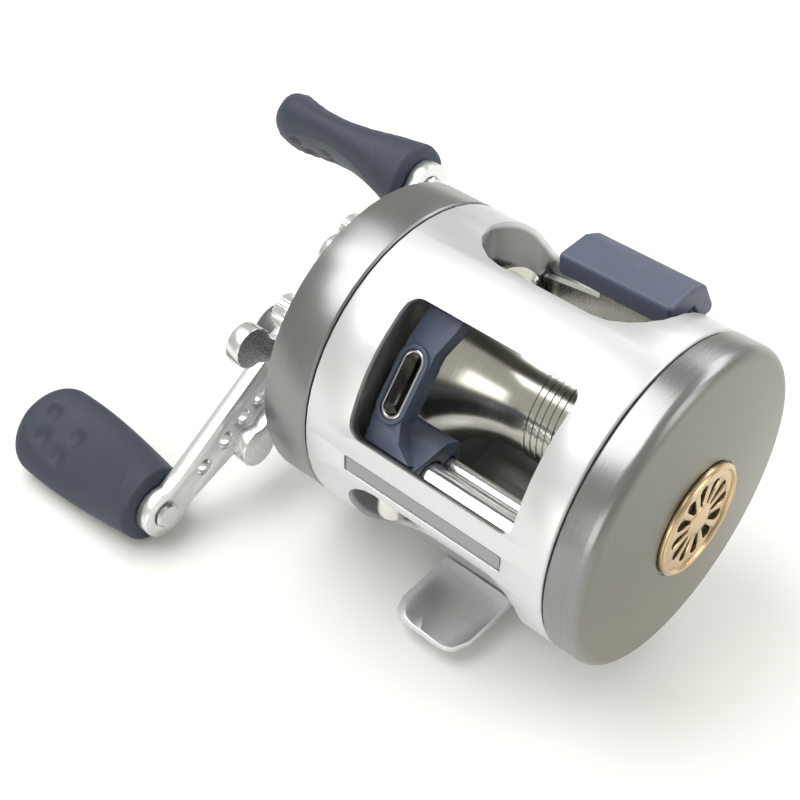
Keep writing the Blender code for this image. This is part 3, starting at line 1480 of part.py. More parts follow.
def make_thumb_bar():
    """The thumb rest, and the carrier behind the spool that guides it in the side walls."""
    half = CARRIER_THICKNESS / 2
    top, bottom = AXIS_HEIGHT + THUMB_TOP, AXIS_HEIGHT + THUMB_BOTTOM
    heel = AXIS_HEIGHT + THUMB_HEEL
    side = [
        (THUMB_FRONT, bottom),
        (THUMB_FRONT, top),
        (THUMB_REAR - 3.4, top),
        (THUMB_REAR, top - 1.6),
        (CARRIER_Y + half + 0.6, heel + 1.6),
        (CARRIER_Y + half + 0.6, heel),
        (CARRIER_Y - half - 1.4, heel),
        (THUMB_REAR - 3.4, bottom),
    ]
    rest = outline_prism("thumb_rest", side, THUMB_RIGHT - THUMB_LEFT, across(THUMB_LEFT), "slate_rubber")
    bevel = rest.modifiers.new("soft edges", "BEVEL")
    bevel.width = THUMB_EDGE * MM
    bevel.segments = 3
    bevel.limit_method = "ANGLE"
    bevel.angle_limit = radians(35)
    bevel.use_clamp_overlap = True

    low, high = tab_heights()
    wall_gap = 0.35
    x0, x1 = HANDLE_WALL_X + SIDE_WALL + wall_gap, PALM_WALL_X - SIDE_WALL - wall_gap
    tab = SIDE_WALL + wall_gap + 0.2
    pad_x0, pad_x1 = THUMB_LEFT + 1.0, THUMB_RIGHT - 1.0
    plate_top = heel - GAP
    outline = [
        (x0, low - 1.0),
        (x1, low - 1.0),
        (x1, low),
        (x1 + tab, low),
        (x1 + tab, high),
        (x1, high),
        (x1, high + 0.6),
        (pad_x1, high + 2.0),
        (pad_x1, plate_top),
        (pad_x0, plate_top),
        (pad_x0, high + 2.0),
        (x0, high + 0.6),
        (x0, high),
        (x0 - tab, high),
        (x0 - tab, low),
        (x0, low),
    ]
    matrix = Matrix(((1, 0, 0, 0), (0, 0, 1, CARRIER_Y - half), (0, 1, 0, 0), (0, 0, 0, 1)))
    outline_prism("thumb_bar_carrier", outline, CARRIER_THICKNESS, matrix, "steel")

    slide_x1 = GEAR_PLATE_X - GEAR_PLATE_THICKNESS - GAP
    slide_x0 = slide_x1 - 1.0
    z0 = (low + high) / 2
    arm_low, arm_high = z0 - 1.4, z0 + 1.4
    toe = yoke_post_places()[0][0] + POST_RADIUS + 2 * GAP  # it passes behind the yoke post as it goes down
    outline = [
        (toe, arm_low - 2.0),
        (CARRIER_Y - 3.0, arm_low),
        (CARRIER_Y + half, arm_low),
        (CARRIER_Y + half, arm_high),
        (toe, arm_high),
    ]
    outline_prism("clutch_slide", outline, 1.0, across(slide_x0), "steel")


# Palm side


def brake_plate_x():
    return PALM_WALL_X + GAP


def make_brake_side():
    x0 = brake_plate_x()
    plate = rod(
        "brake_plate", x0, x0 + BRAKE_PLATE_THICKNESS, CHAMBER_RADIUS - GAP, "satin_olive_grey", 48, at=(
            0, 0, AXIS_HEIGHT
        )
    )
    hub = rod(
        "brake plate hub",
        x0 - BEARING_WIDTH + 0.4,
        x0 + 0.3,
        BEARING_RADIUS + GAP + 1.2,
        None,
        36,
        at=at_axis(SPOOL_AXIS),
        helper=True,
    )
    boolean(plate, hub, "UNION")
    shank = 1.0
    places = brake_screw_places()
    cut(
        plate,
        bore_cutter("palm bearing seat", x0 - 4, x0 + 0.7, BEARING_RADIUS + GAP, *SPOOL_AXIS, 32),
        bore_cutter("worm bush clearance", x0 - 2, x0 + 3, WORM_TUBE_RADIUS + 0.6 + GAP, *WORM_AXIS, 24),
        outline_prism("carrier tab clearance", tab_slot_outline(), 4.0, across(x0 - 1), helper=True),
        *[
            bore_cutter(f"brake screw bore {i + 1}", x0 - 2, x0 + 3, shank + GAP, *p, 16)
            for i, p in enumerate(places)
        ],
    )
    rod(
        "brake_magnet_ring",
        x0 - GAP - MAGNET_THICKNESS,
        x0 - GAP,
        MAGNET_OUTER,
        "magnet",
        32,
        MAGNET_INNER,
        at=at_axis(SPOOL_AXIS),
    )
    outer = x0 + BRAKE_PLATE_THICKNESS
    for i, (y, z) in enumerate(places):
        head = outer + GAP
        profile = [
            (PALM_WALL_X + 0.05, 0),
            (PALM_WALL_X + 0.05, shank),
            (head, shank),
            (head, 1.8),
            (head + 0.6, 1.6),
            (head + 0.6, 0),
        ]
        turned(f"brake_plate_screw_{i + 1}", profile, "steel", 16, at=at_axis((y, z)))


def brake_screw_places():
    return [(21.0 * cos(radians(a)), 21.0 * sin(radians(a))) for a in (118, -62)]


def make_palm_cap():
    rim = SEAM + GAP
    wall_end = rim + PALM_CAP_WIDTH
    fillet = PALM_RIM_FILLET
    face_radius = FRAME_RADIUS - fillet
    outer = [(rim, FRAME_RADIUS - FRAME_EDGE), (rim + FRAME_EDGE, FRAME_RADIUS), (wall_end, FRAME_RADIUS)]
    for i in range(1, 4):
        a = radians(90 * i / 3)
        outer.append((wall_end + fillet * sin(a), face_radius + fillet * cos(a)))
    face = wall_end + fillet
    for i in range(1, 4):
        r = face_radius * (1 - i / 3)
        outer.append((face + PALM_DOME * (1 - (r / face_radius) ** 2), r))
    inner_radius = FRAME_RADIUS - PALM_WALL
    inner = []
    for i in range(3, -1, -1):
        r = (inner_radius - 2.0) * (1 - i / 3)
        inner.append((face - PALM_WALL + PALM_DOME * (1 - (r / face_radius) ** 2), r))
    inner += [(wall_end - 0.4, inner_radius), (rim, inner_radius)]
    cap = turned("palm_side_cover", inner + outer, "satin_olive_grey", BARREL_SIDES, at=(0, 0, AXIS_HEIGHT))
    seat = face + PALM_DOME - 0.45
    cut(cap, bore_cutter("badge seat", seat, face + 5, BADGE_RADIUS + 0.25, 0, 0, 48))
    badge = rod(
        "palm_badge", seat + 0.2, seat + 0.2 + BADGE_THICKNESS, BADGE_RADIUS, "gold_badge", 40, at=(
            0, 0, AXIS_HEIGHT
        )
    )
    for i in range(BADGE_SLOTS):
        turn = 2 * pi * i / BADGE_SLOTS
        petal = arc(5.9, 0, 1.0, -90, 90, 4) + arc(3.2, 0, 0.45, 90, 270, 3)
        outline = [(u * cos(turn) - v * sin(turn), u * sin(turn) + v * cos(turn)) for u, v in petal]
        cut(
            badge,
            outline_prism(
                f"badge petal {i + 1}", outline, 4.0, across(seat - 1), helper=True, at=(0, 0, AXIS_HEIGHT)
            ),
        )


def main():
    clear_scene()
    drive_holder = empty("drive axis", DRIVE_AXIS[0], DRIVE_AXIS[1] + AXIS_HEIGHT)
    spool_holder = empty("spool axis", SPOOL_AXIS[0], SPOOL_AXIS[1] + AXIS_HEIGHT)
    worm_holder = empty("worm axis", WORM_AXIS[0], WORM_AXIS[1] + AXIS_HEIGHT)

    make_frame()
    make_label()
    make_foot()
    make_rivets()
    make_handle_cover()
    make_one_way_bearing()
    make_thumbscrews()
    make_tension_cap()
    make_gear_plate()
    make_idler()
    make_yoke()
    make_drive(drive_holder)
    make_star(drive_holder)
    make_handle(drive_holder)
    make_knob("knob_front", -1, KNOB_REST_ANGLES[0], drive_holder)
    make_knob("knob_rear", 1, KNOB_REST_ANGLES[1], drive_holder)
    make_spool(spool_holder)
    make_pinion(spool_holder)
    make_bearings()
    make_worm(worm_holder)
    make_worm_tube()
    make_line_guide()
    make_thumb_bar()
    make_brake_side()
    make_palm_cap()


main()
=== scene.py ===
"""The looks of a compact round baitcasting reel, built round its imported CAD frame.

Run as a script inside Blender. Every piece is placed from the boxes of the CAD nodes, in metres, in the frame's
own axes: +X from the handle side to the palm side, -Y towards the rod tip, +Z up.
"""

import json
from math import cos, exp, hypot, pi, radians, sin, sqrt

import bmesh
import bpy
from mathutils import Matrix, Vector

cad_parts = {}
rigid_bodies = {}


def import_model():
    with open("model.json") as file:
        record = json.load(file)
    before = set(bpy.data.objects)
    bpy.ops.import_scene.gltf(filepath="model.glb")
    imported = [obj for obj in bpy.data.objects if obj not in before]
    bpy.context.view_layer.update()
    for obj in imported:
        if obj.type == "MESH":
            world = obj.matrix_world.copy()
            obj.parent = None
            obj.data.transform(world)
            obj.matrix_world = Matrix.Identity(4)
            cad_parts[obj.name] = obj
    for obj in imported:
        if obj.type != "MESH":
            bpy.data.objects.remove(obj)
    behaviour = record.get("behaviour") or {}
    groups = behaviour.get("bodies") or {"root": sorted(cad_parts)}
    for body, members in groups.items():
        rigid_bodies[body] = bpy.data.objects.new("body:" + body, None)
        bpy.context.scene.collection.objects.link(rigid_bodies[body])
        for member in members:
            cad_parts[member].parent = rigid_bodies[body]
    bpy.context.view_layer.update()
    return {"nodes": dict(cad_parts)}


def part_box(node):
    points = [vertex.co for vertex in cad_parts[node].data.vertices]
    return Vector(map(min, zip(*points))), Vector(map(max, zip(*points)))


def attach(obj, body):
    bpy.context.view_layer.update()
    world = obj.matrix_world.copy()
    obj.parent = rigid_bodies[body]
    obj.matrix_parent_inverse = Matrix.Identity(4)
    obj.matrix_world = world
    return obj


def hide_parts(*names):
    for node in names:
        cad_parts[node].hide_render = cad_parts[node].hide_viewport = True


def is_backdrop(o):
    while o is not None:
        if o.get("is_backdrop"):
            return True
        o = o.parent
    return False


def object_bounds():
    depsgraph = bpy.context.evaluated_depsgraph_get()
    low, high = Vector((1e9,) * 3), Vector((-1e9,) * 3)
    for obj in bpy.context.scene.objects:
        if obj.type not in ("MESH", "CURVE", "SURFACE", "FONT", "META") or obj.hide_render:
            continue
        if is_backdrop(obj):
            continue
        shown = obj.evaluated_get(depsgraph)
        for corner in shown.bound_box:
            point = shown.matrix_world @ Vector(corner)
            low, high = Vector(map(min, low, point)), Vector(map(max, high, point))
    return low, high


bl_info = {
    "name": "Baitcasting reel looks",
    "version": (1, 0, 0),
    "blender": (4, 5, 0),
    "location": "3D View > Sidebar > Reel",
    "description": "Builds the visible pieces, materials and stage of a round baitcasting reel",
    "category": "Object",
}

for leftover in list(bpy.data.objects):
    bpy.data.objects.remove(leftover, do_unlink=True)
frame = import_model()
MM = 0.001


# Places, read from the CAD nodes


def middle(node):
    low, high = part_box(node)
    return (low + high) / 2


def span_x(node):
    low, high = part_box(node)
    return low.x, high.x


def radius_of(node):
    low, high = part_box(node)
    return (high.y - low.y) / 2


BARREL = middle("palm_side_cover")
SPOOL = middle("spool")
DRIVE = middle("drag_sleeve")
BARREL_RADIUS = radius_of("palm_side_cover")


# Shader maths


class Value:
    """An output of a node. Arithmetic on it adds Math nodes to its tree."""

    def __init__(self, tree, socket):
        self.tree = tree
        self.socket = socket

    def math(self, operation, first, second=None):
        node = self.tree.nodes.new("ShaderNodeMath")
        node.operation = operation
        for slot, given in zip(node.inputs, (first, second)):
            if given is not None:
                connect(self.tree, given, slot)
        return Value(self.tree, node.outputs[0])

    def __add__(self, other):
        return self.math("ADD", self, other)

    __radd__ = __add__

    def __mul__(self, other):
        return self.math("MULTIPLY", self, other)

    __rmul__ = __mul__

    def __sub__(self, other):
        return self.math("SUBTRACT", self, other)

    def __rsub__(self, other):
        return self.math("SUBTRACT", other, self)

    def __truediv__(self, other):
        return self.math("DIVIDE", self, other)

    def __pow__(self, other):
        return self.math("POWER", self, other)

    def sine(self):
        return self.math("SINE", self)

    def root(self):
        return self.math("SQRT", self)

    def absolute(self):
        return self.math("ABSOLUTE", self)

    def least(self, other):
        return self.math("MINIMUM", self, other)

    def most(self, other):
        return self.math("MAXIMUM", self, other)

    def ramp(self, low, high, smooth=True):
        """0 below low and 1 above high, in between a smooth step."""
        node = self.tree.nodes.new("ShaderNodeMapRange")
        node.interpolation_type = "SMOOTHSTEP" if smooth else "LINEAR"
        connect(self.tree, self, node.inputs["Value"])
        node.inputs["From Min"].default_value = low
        node.inputs["From Max"].default_value = high
        return Value(self.tree, node.outputs["Result"])


def connect(tree, given, socket):
    if isinstance(given, Value):
        tree.links.new(given.socket, socket)
    elif isinstance(given, tuple) and len(given) == 3 and socket.type == "RGBA":
        socket.default_value = (*given, 1.0)
    else:
        socket.default_value = given


class Surface:
    """A material on one Principled shader, with the object's own coordinates at hand."""

    def __init__(self, name):
        self.material = bpy.data.materials.new(name)
        self.material.use_nodes = True
        self.tree = self.material.node_tree
        self.shader = self.tree.nodes["Principled BSDF"]
        self.place = self.node("ShaderNodeTexCoord", output="Object")
        parts = self.tree.nodes.new("ShaderNodeSeparateXYZ")
        self.tree.links.new(self.place.socket, parts.inputs[0])
        self.x, self.y, self.z = (Value(self.tree, parts.outputs[i]) for i in range(3))

    def node(self, kind, settings=None, inputs=None, output=0):
        """Adds any other node: its settings first, then the values or links of its sockets."""
        made = self.tree.nodes.new(kind)
        for key, given in (settings or {}).items():
            setattr(made, key, given)
        for key, given in (inputs or {}).items():
            connect(self.tree, given, made.inputs[key])
        return Value(self.tree, made.outputs[output])

    def vector(self, x, y, z):
        return self.node("ShaderNodeCombineXYZ", inputs={0: x, 1: y, 2: z})

    def noise(self, scale, detail=3.0, roughness=0.55, vector=None):
        inputs = {"Vector": vector or self.place, "Scale": scale, "Detail": detail, "Roughness": roughness}
        return self.node("ShaderNodeTexNoise", inputs=inputs, output=0)

    def mix(self, first, second, factor):
        """Mixes two colours."""
        return self.node("ShaderNodeMix", {"data_type": "RGBA"}, {0: factor, 6: first, 7: second}, output=2)

    def shade(self, colour, by):
        """Makes a colour lighter or darker by a value that varies about 1."""
        made = self.tree.nodes.new("ShaderNodeVectorMath")
        made.operation = "SCALE"
        connect(self.tree, colour if isinstance(colour, Value) else Vector(colour[:3]), made.inputs[0])
        connect(self.tree, by, made.inputs["Scale"])
        return Value(self.tree, made.outputs[0])

    def set(self, colour=None, roughness=None, bump=None, bump_depth=1.0, **constants):
        if colour is not None:
            connect(self.tree, colour, self.shader.inputs["Base Color"])
        if roughness is not None:
            connect(self.tree, roughness, self.shader.inputs["Roughness"])
        if bump is not None:
            inputs = {"Height": bump, "Distance": bump_depth * MM, "Strength": 1.0}
            self.tree.links.new(
                self.node("ShaderNodeBump", inputs=inputs).socket, self.shader.inputs["Normal"]
            )
        for key, given in constants.items():
            self.shader.inputs[key.replace("_", " ").title()].default_value = given
        return self.material

    def ring_distance(self, centre):
        """Distance from an axis along X through centre."""
        dy, dz = self.y - centre.y, self.z - centre.z
        return (dy * dy + dz * dz).root()


def turned_metal(name, colour, roughness, centre, lines=2600.0, depth=0.006, painted_underside_tint=None, metallic=0.95):
    """Metal with fine lines round an axis along X, as a lathe leaves them."""
    s = Surface(name)
    r = s.ring_distance(centre)
    fine = s.noise(1.0, 4.0, 0.6, s.vector(s.x * lines, r * lines, (s.y + s.z) * 40.0))
    broad = s.noise(60.0, 2.0)
    tone = (fine - 0.5) * 0.16 + (broad - 0.5) * 0.10 + 1.0
    base = s.shade(colour, tone)
    # Painted light: when given, this colour is mixed in towards the lower side, below the axis, as a painted warm
    # bounce.
    if painted_underside_tint is not None:
        base = s.mix(base, s.shade(painted_underside_tint, tone), (s.z - centre.z).ramp(0.012, -0.022))
    rough = (fine - 0.5) * 0.12 + (broad - 0.5) * 0.08 + roughness
    return s.set(base, rough, fine, depth, metallic=metallic)


def satin_metal(name, colour, roughness, grain=5200.0, depth=0.004, metallic=0.9, cloud=0.05):
    """Evenly blasted metal with a faint grain and slight clouding."""
    s = Surface(name)
    fine = s.noise(grain, 2.0, 0.7)
    broad = s.noise(45.0, 3.0)
    scuff = s.noise(1.0, 5.0, 0.7, s.vector(s.x * 260.0, s.y * 1400.0, s.z * 900.0)).ramp(0.70, 0.80)
    tone = (fine - 0.5) * 0.06 + (broad - 0.5) * cloud * 2.0 + 1.0 - scuff * 0.04
    rough = (broad - 0.5) * 0.10 + (fine - 0.5) * 0.05 + roughness - scuff * 0.06
    return s.set(s.shade(colour, tone), rough, fine, depth, metallic=metallic)


def shell_metal(name, colour, roughness):
    """The frame's satin outside. Where the shell faces inwards it is smoother and painted darker, as painted shade."""
    s = Surface(name)
    fine = s.noise(5200.0, 2.0, 0.7)
    broad = s.noise(45.0, 3.0)
    outside = s.ring_distance(BARREL).ramp(BARREL_RADIUS - 0.0013, BARREL_RADIUS - 0.0004)
    tone = (fine - 0.5) * 0.10 + (broad - 0.5) * 0.08 + 1.0
    # Painted shade: inside the barrel radius the shell gets a dark grey in place of the shade that falls there.
    base = s.mix(s.shade((0.20, 0.20, 0.195), tone), s.shade(colour, tone), outside)
    rough = outside * (roughness - 0.30) + (broad - 0.5) * 0.10 + (fine - 0.5) * 0.08 + 0.30
    return s.set(base, rough, fine, 0.006, metallic=0.80)


def brushed_metal(name, colour, roughness, along="x", lines=3000.0, depth=0.008, metallic=0.95):
    s = Surface(name)
    scales = {axis: (70.0 if axis == along else lines) for axis in "xyz"}
    stretched = s.vector(s.x * scales["x"], s.y * scales["y"], s.z * scales["z"])
    fine = s.noise(1.0, 4.0, 0.6, stretched)
    broad = s.noise(90.0, 2.0)
    tone = (fine - 0.5) * 0.22 + (broad - 0.5) * 0.12 + 1.0
    return s.set(s.shade(colour, tone), (fine - 0.5) * 0.14 + roughness, fine, depth, metallic=metallic)


def soft_rubber(name, colour, roughness=0.62, grain=2600.0, depth=0.02):
    """Matt grip material: fine pebbling, dust-pale where it catches, slightly polished patches."""
    s = Surface(name)
    fine = s.noise(grain, 3.0, 0.6)
    patch = s.noise(110.0, 3.0)
    dust = s.noise(420.0, 5.0, 0.7).ramp(0.52, 0.78)
    tone = (fine - 0.5) * 0.22 + (patch - 0.5) * 0.20 + 1.0
    base = s.mix(s.shade(colour, tone), tuple(min(1.0, c * 1.9 + 0.02) for c in colour[:3]), dust * 0.18)
    rough = (patch - 0.5) * 0.16 + (fine - 0.5) * 0.10 + roughness
    return s.set(base, rough, fine + patch * 0.4, depth, metallic=0.0)


def moulded_plastic(name, colour, roughness=0.36):
    s = Surface(name)
    orange = s.noise(1500.0, 2.0, 0.5)
    patch = s.noise(160.0, 3.0)
    tone = (patch - 0.5) * 0.18 + (orange - 0.5) * 0.05 + 1.0
    return s.set(s.shade(colour, tone), (patch - 0.5) * 0.14 + roughness, orange, 0.010, metallic=0.0)


# Mesh building, in millimetres about a given centre


def finish_piece(name, bm, material, body, replaces=(), bevel=0.0, smooth=38.0, subdivide=0):
    bmesh.ops.recalc_face_normals(bm, faces=bm.faces)
    bmesh.ops.scale(bm, vec=(MM, MM, MM), verts=bm.verts)
    mesh = bpy.data.meshes.new(name)
    bm.to_mesh(mesh)
    bm.free()
    mesh.shade_smooth()
    if smooth:
        mesh.set_sharp_from_angle(angle=radians(smooth))
    mesh.materials.append(material)
    made = bpy.data.objects.new(name, mesh)
    bpy.context.scene.collection.objects.link(made)
    if bevel:
        soften(made, bevel)
    if subdivide:
        modifier = made.modifiers.new("smooth", "SUBSURF")
        modifier.levels = modifier.render_levels = subdivide
    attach(made, body)
    if replaces:
        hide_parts(*replaces)
    return made


def soften(made, width, segments=2, angle=40.0):
    modifier = made.modifiers.new("edge", "BEVEL")
    modifier.width = width * MM
    modifier.segments = segments
    modifier.limit_method = "ANGLE"
    modifier.angle_limit = radians(angle)
    modifier.harden_normals = True


def in_mm(point):
    return Vector(point) / MM


def lathe(profile, centre, sides=96, axis="X"):
    """Spins (along, radius) points, in millimetres, about an axis through centre."""
    bm = bmesh.new()
    centre = in_mm(centre)
    rings = []
    for along, radius in profile:
        ring = []
        for i in range(sides if radius > 1e-6 else 1):
            turn = 2 * pi * i / sides
            if axis == "X":
                at = (along, centre.y + radius * cos(turn), centre.z + radius * sin(turn))
            else:
                at = (centre.x + radius * cos(turn), centre.y + radius * sin(turn), along)
            ring.append(bm.verts.new(at))
        rings.append(ring)
    pairs = list(zip(rings, rings[1:]))
    if len(rings[0]) > 1 and len(rings[-1]) > 1:
        pairs.append((rings[-1], rings[0]))
    for first, second in pairs:
        for i in range(sides):
            j = (i + 1) % sides
            corners = [first[i % len(first)], first[j % len(first)], second[j % len(second)], second[i % len(second)]]
            unique = [v for k, v in enumerate(corners) if v not in corners[:k]]
            if len(unique) > 2:
                bm.faces.new(unique)
    return bm


def prism(outline, depth, matrix):
    """Extrudes a (u, v) outline along w, and carries it into place with a matrix in millimetres."""
    bm = bmesh.new()
    low = [bm.verts.new(matrix @ Vector((u, v, 0))) for u, v in outline]
    high = [bm.verts.new(matrix @ Vector((u, v, depth))) for u, v in outline]
    bm.faces.new(low[::-1])
    bm.faces.new(high)
    for i in range(len(low)):
        j = (i + 1) % len(low)
        bm.faces.new((low[i], low[j], high[j], high[i]))
    return bm


def across(x, centre):
    """Carries (u, v) to (y, z) about a centre, at X = x, growing towards +X."""
    at = in_mm(centre)
    return Matrix(((0, 0, 1, x), (1, 0, 0, at.y), (0, 1, 0, at.z), (0, 0, 0, 1)))


def rounded(profile, corners):
    """Rounds chosen corners of a profile: corners maps an index to a radius."""
    out = []
    for i, point in enumerate(profile):
        radius = corners.get(i, 0)
        if not radius:
            out.append(point)
            continue
        here = Vector(point)
        before = (Vector(profile[i - 1]) - here).normalized() * radius
        after = (Vector(profile[(i + 1) % len(profile)]) - here).normalized() * radius
        for step in range(7):
            t = step / 6
            curve = (here + before) * (1 - t) ** 2 + here * 2 * t * (1 - t) + (here + after) * t * t
            out.append(tuple(curve))
    return out


def set_material(node, material, width=0.0, flat=False):
    """A CAD node keeps its mesh: it gets a material, and modifiers that weld it and soften its edges."""
    made = frame["nodes"][node]
    made.data.materials.clear()
    made.data.materials.append(material)
    weld = made.modifiers.new("weld", "WELD")
    weld.merge_threshold = 2e-6
    if flat:
        join = made.modifiers.new("flat faces", "DECIMATE")
        join.decimate_type = "DISSOLVE"
        join.angle_limit = radians(1.5)
    if width:
        soften(made, width)
    made.data.shade_smooth()
    if not width:
        split = made.modifiers.new("sharp edges", "EDGE_SPLIT")
        split.split_angle = radians(32)
    return made


# What a user would change


class ReelColours(bpy.types.PropertyGroup):
    """Colours of the reel's finishes."""

    frame_silver: bpy.props.FloatVectorProperty(
        name="Frame", description="Satin silver of the round frame", subtype="COLOR", default=(0.64, 0.645, 0.655)
    )
    cover_dark: bpy.props.FloatVectorProperty(
        name="Side covers", description="Dark turned metal of the side rings", subtype="COLOR", default=(0.245, 0.25, 0.245)
    )
    palm_face: bpy.props.FloatVectorProperty(
        name="Palm face", description="Satin face of the palm side", subtype="COLOR", default=(0.205, 0.203, 0.178)
    )
    grip: bpy.props.FloatVectorProperty(
        name="Knobs", description="Slate of the knobs", subtype="COLOR", default=(0.026, 0.034, 0.055)
    )
    thumb_rest: bpy.props.FloatVectorProperty(
        name="Thumb rest", description="Slate of the thumb rest", subtype="COLOR", default=(0.070, 0.082, 0.130)
    )
    guide: bpy.props.FloatVectorProperty(
        name="Line guide", description="Slate of the line guide", subtype="COLOR", default=(0.060, 0.076, 0.118)
    )
    badge: bpy.props.FloatVectorProperty(
        name="Badge", description="Bronze of the palm badge", subtype="COLOR", default=(0.60, 0.45, 0.27)
    )


class ReelSizes(bpy.types.PropertyGroup):
    """Sizes of the details added to the CAD frame."""

    edge: bpy.props.FloatProperty(
        name="Edge", description="Width of softened metal edges", default=0.00025, min=0.0, max=0.001, unit="LENGTH"
    )
    dimple: bpy.props.FloatProperty(
        name="Dimple depth", description="Depth of the knobs' finger dimples", default=0.0007, min=0.0, max=0.002,
        unit="LENGTH",
    )
    knurls: bpy.props.IntProperty(
        name="Knurls", description="Ridges round each thumbscrew", default=22, min=8, max=48
    )


# Pieces


class REEL_OT_frame(bpy.types.Operator):
    """Finishes the round frame, its bare label and the gear plate"""

    bl_idname = "reel.frame"
    bl_label = "Frame"

    def execute(self, context):
        colours, sizes = context.scene.reel_colours, context.scene.reel_sizes
        silver = shell_metal("satin_silver_look", tuple(colours.frame_silver), 0.40)
        set_material("frame", silver, sizes.edge / MM, flat=True)
        set_material("gear_plate", silver)
        s = Surface("label_look")
        fine = s.noise(5200.0, 2.0)
        set_material("bare_label", s.set(s.shade((0.30, 0.31, 0.31), (fine - 0.5) * 0.2 + 1.0), 0.5, fine, 0.01, metallic=0.5))
        return {"FINISHED"}


class REEL_OT_covers(bpy.types.Operator):
    """Finishes the handle-side cover and builds the smooth palm-side cover"""

    bl_idname = "reel.covers"
    bl_label = "Side covers"

    def execute(self, context):
        colours = context.scene.reel_colours
        dark = turned_metal("gunmetal_look", tuple(colours.cover_dark), 0.30, BARREL)
        set_material("handle_side_cover", dark, 0.2, flat=True)

        low, high = (v / MM for v in span_x("palm_side_cover"))
        radius = BARREL_RADIUS / MM
        rim, fillet, dome, wall = low + 4.0, 2.0, 1.3, 1.5
        face = radius - fillet
        profile = [(low, radius - wall), (low, radius - 0.25), (low + 0.25, radius), (rim, radius)]
        profile += [(rim + fillet * sin(radians(a)), face + fillet * cos(radians(a))) for a in range(9, 91, 9)]
        seat = radius_of("palm_badge") / MM + 0.25
        top = rim + fillet + dome
        steps = 16
        for i in range(1, steps + 1):
            r = face + (seat - face) * i / steps
            profile.append((top - dome * (r / face) ** 2, r))
        floor = span_x("palm_badge")[0] / MM - 0.15
        profile += [(floor, seat), (floor, 0.0)]
        inner = [(floor - wall, 0.0), (floor - wall, radius - wall - 3), (rim - 0.5, radius - wall)]
        bm = lathe(profile + inner, BARREL, 160)
        s = Surface("palm_look")
        r = s.ring_distance(BARREL)
        lines = s.noise(1.0, 4.0, 0.6, s.vector(s.x * 2600.0, r * 2400.0, (s.y + s.z) * 40.0))
        fine = s.noise(4600.0, 2.0, 0.7)
        broad = s.noise(38.0, 2.0)
        side = (r / MM).ramp(radius - 1.2, radius - 0.1)
        tone = (fine - 0.5) * 0.08 + (broad - 0.5) * 0.12 + 1.0
        # Painted light: the face is mixed to a lighter, warmer colour towards its bottom, as the light falls on it.
        face_painted_lighter_below = s.mix(
            s.shade(tuple(colours.palm_face), tone),
            s.shade((0.275, 0.262, 0.215), tone),
            (s.z - BARREL.z).ramp(0.010, -0.026),
        )
        rim_colour = s.shade(tuple(colours.cover_dark), (lines - 0.5) * 0.2 + 1.0)
        rough = side * ((lines - 0.5) * 0.12 + 0.27) + (1 - side) * ((fine - 0.5) * 0.08 + 0.36)
        palm = s.set(
            s.mix(face_painted_lighter_below, rim_colour, side), rough, side * lines + (1 - side) * fine, 0.006, metallic=0.9
        )
        finish_piece("palm_cover_skin", bm, palm, "housing", ("palm_side_cover",), smooth=30)
        return {"FINISHED"}


class REEL_OT_badge(bpy.types.Operator):
    """Builds the pierced bronze rosette on the palm side"""

    bl_idname = "reel.badge"
    bl_label = "Palm badge"

    def execute(self, context):
        bronze = satin_metal(
            "badge_look", tuple(context.scene.reel_colours.badge), 0.26, 2600.0, 0.02, metallic=1.0, cloud=0.14
        )
        set_material("palm_badge", bronze, 0.15, flat=True)
        x0, x1 = (v / MM for v in span_x("palm_badge"))
        radius = radius_of("palm_badge") / MM
        ring = [(x1, radius - 1.0), (x1 + 0.28, radius - 0.8), (x1 + 0.36, radius - 0.45), (x1 + 0.1, radius - 0.12), (x1, radius - 0.12)]
        finish_piece("badge_rim", lathe(ring, BARREL, 96), bronze, "housing")
        hub = [(x1, 0.0), (x1, 2.6), (x1 + 0.18, 2.4), (x1 + 0.36, 1.6), (x1 + 0.42, 0.0)]
        finish_piece("badge_boss", lathe(hub[::-1], BARREL, 64), bronze, "housing")
        s = Surface("badge_backing_look")
        fine = s.noise(3000.0, 2.0)
        backing = s.set(s.shade((0.035, 0.032, 0.028), fine + 0.5), 0.6, fine, 0.01, metallic=0.3)
        disc = [(x0 - 0.06, radius - 0.3), (x0 - 0.02, 0.0)]
        finish_piece(
            "badge_backing", lathe([(x0 - 0.12, 0.0), (x0 - 0.12, radius - 0.3), *disc], BARREL, 64), backing, "housing",
        )
        return {"FINISHED"}


class REEL_OT_foot(bpy.types.Operator):
    """Finishes the foot, its rivets and the other steel pieces of the frame"""

    bl_idname = "reel.foot"
    bl_label = "Foot"

    def execute(self, context):
        steel = brushed_metal("foot_look", (0.74, 0.75, 0.78), 0.36, "x", 1900.0, 0.008, metallic=0.85)
        set_material("reel_foot", steel, 0.18, flat=True)
        pin = turned_metal("pin_look", (0.62, 0.62, 0.61), 0.26, DRIVE)
        for node in sorted(frame["nodes"]):
            if node.startswith(("foot_rivet", "brake_plate", "yoke_post", "yoke_spring", "spool_bearing", "knob_pin")):
                set_material(node, pin)
        for node in ("one_way_bearing", "idler_stud", "guide_rod", "clutch_yoke", "drag_key_washer",
                     "drag_pressure_plate", "drag_sleeve", "drive_shaft", "handle_nut", "spool_shaft", "clutch_pin",
                     "worm_shaft", "clutch_slide", "thumb_bar_carrier", "level_wind_pawl"):
            set_material(node, pin)
        return {"FINISHED"}


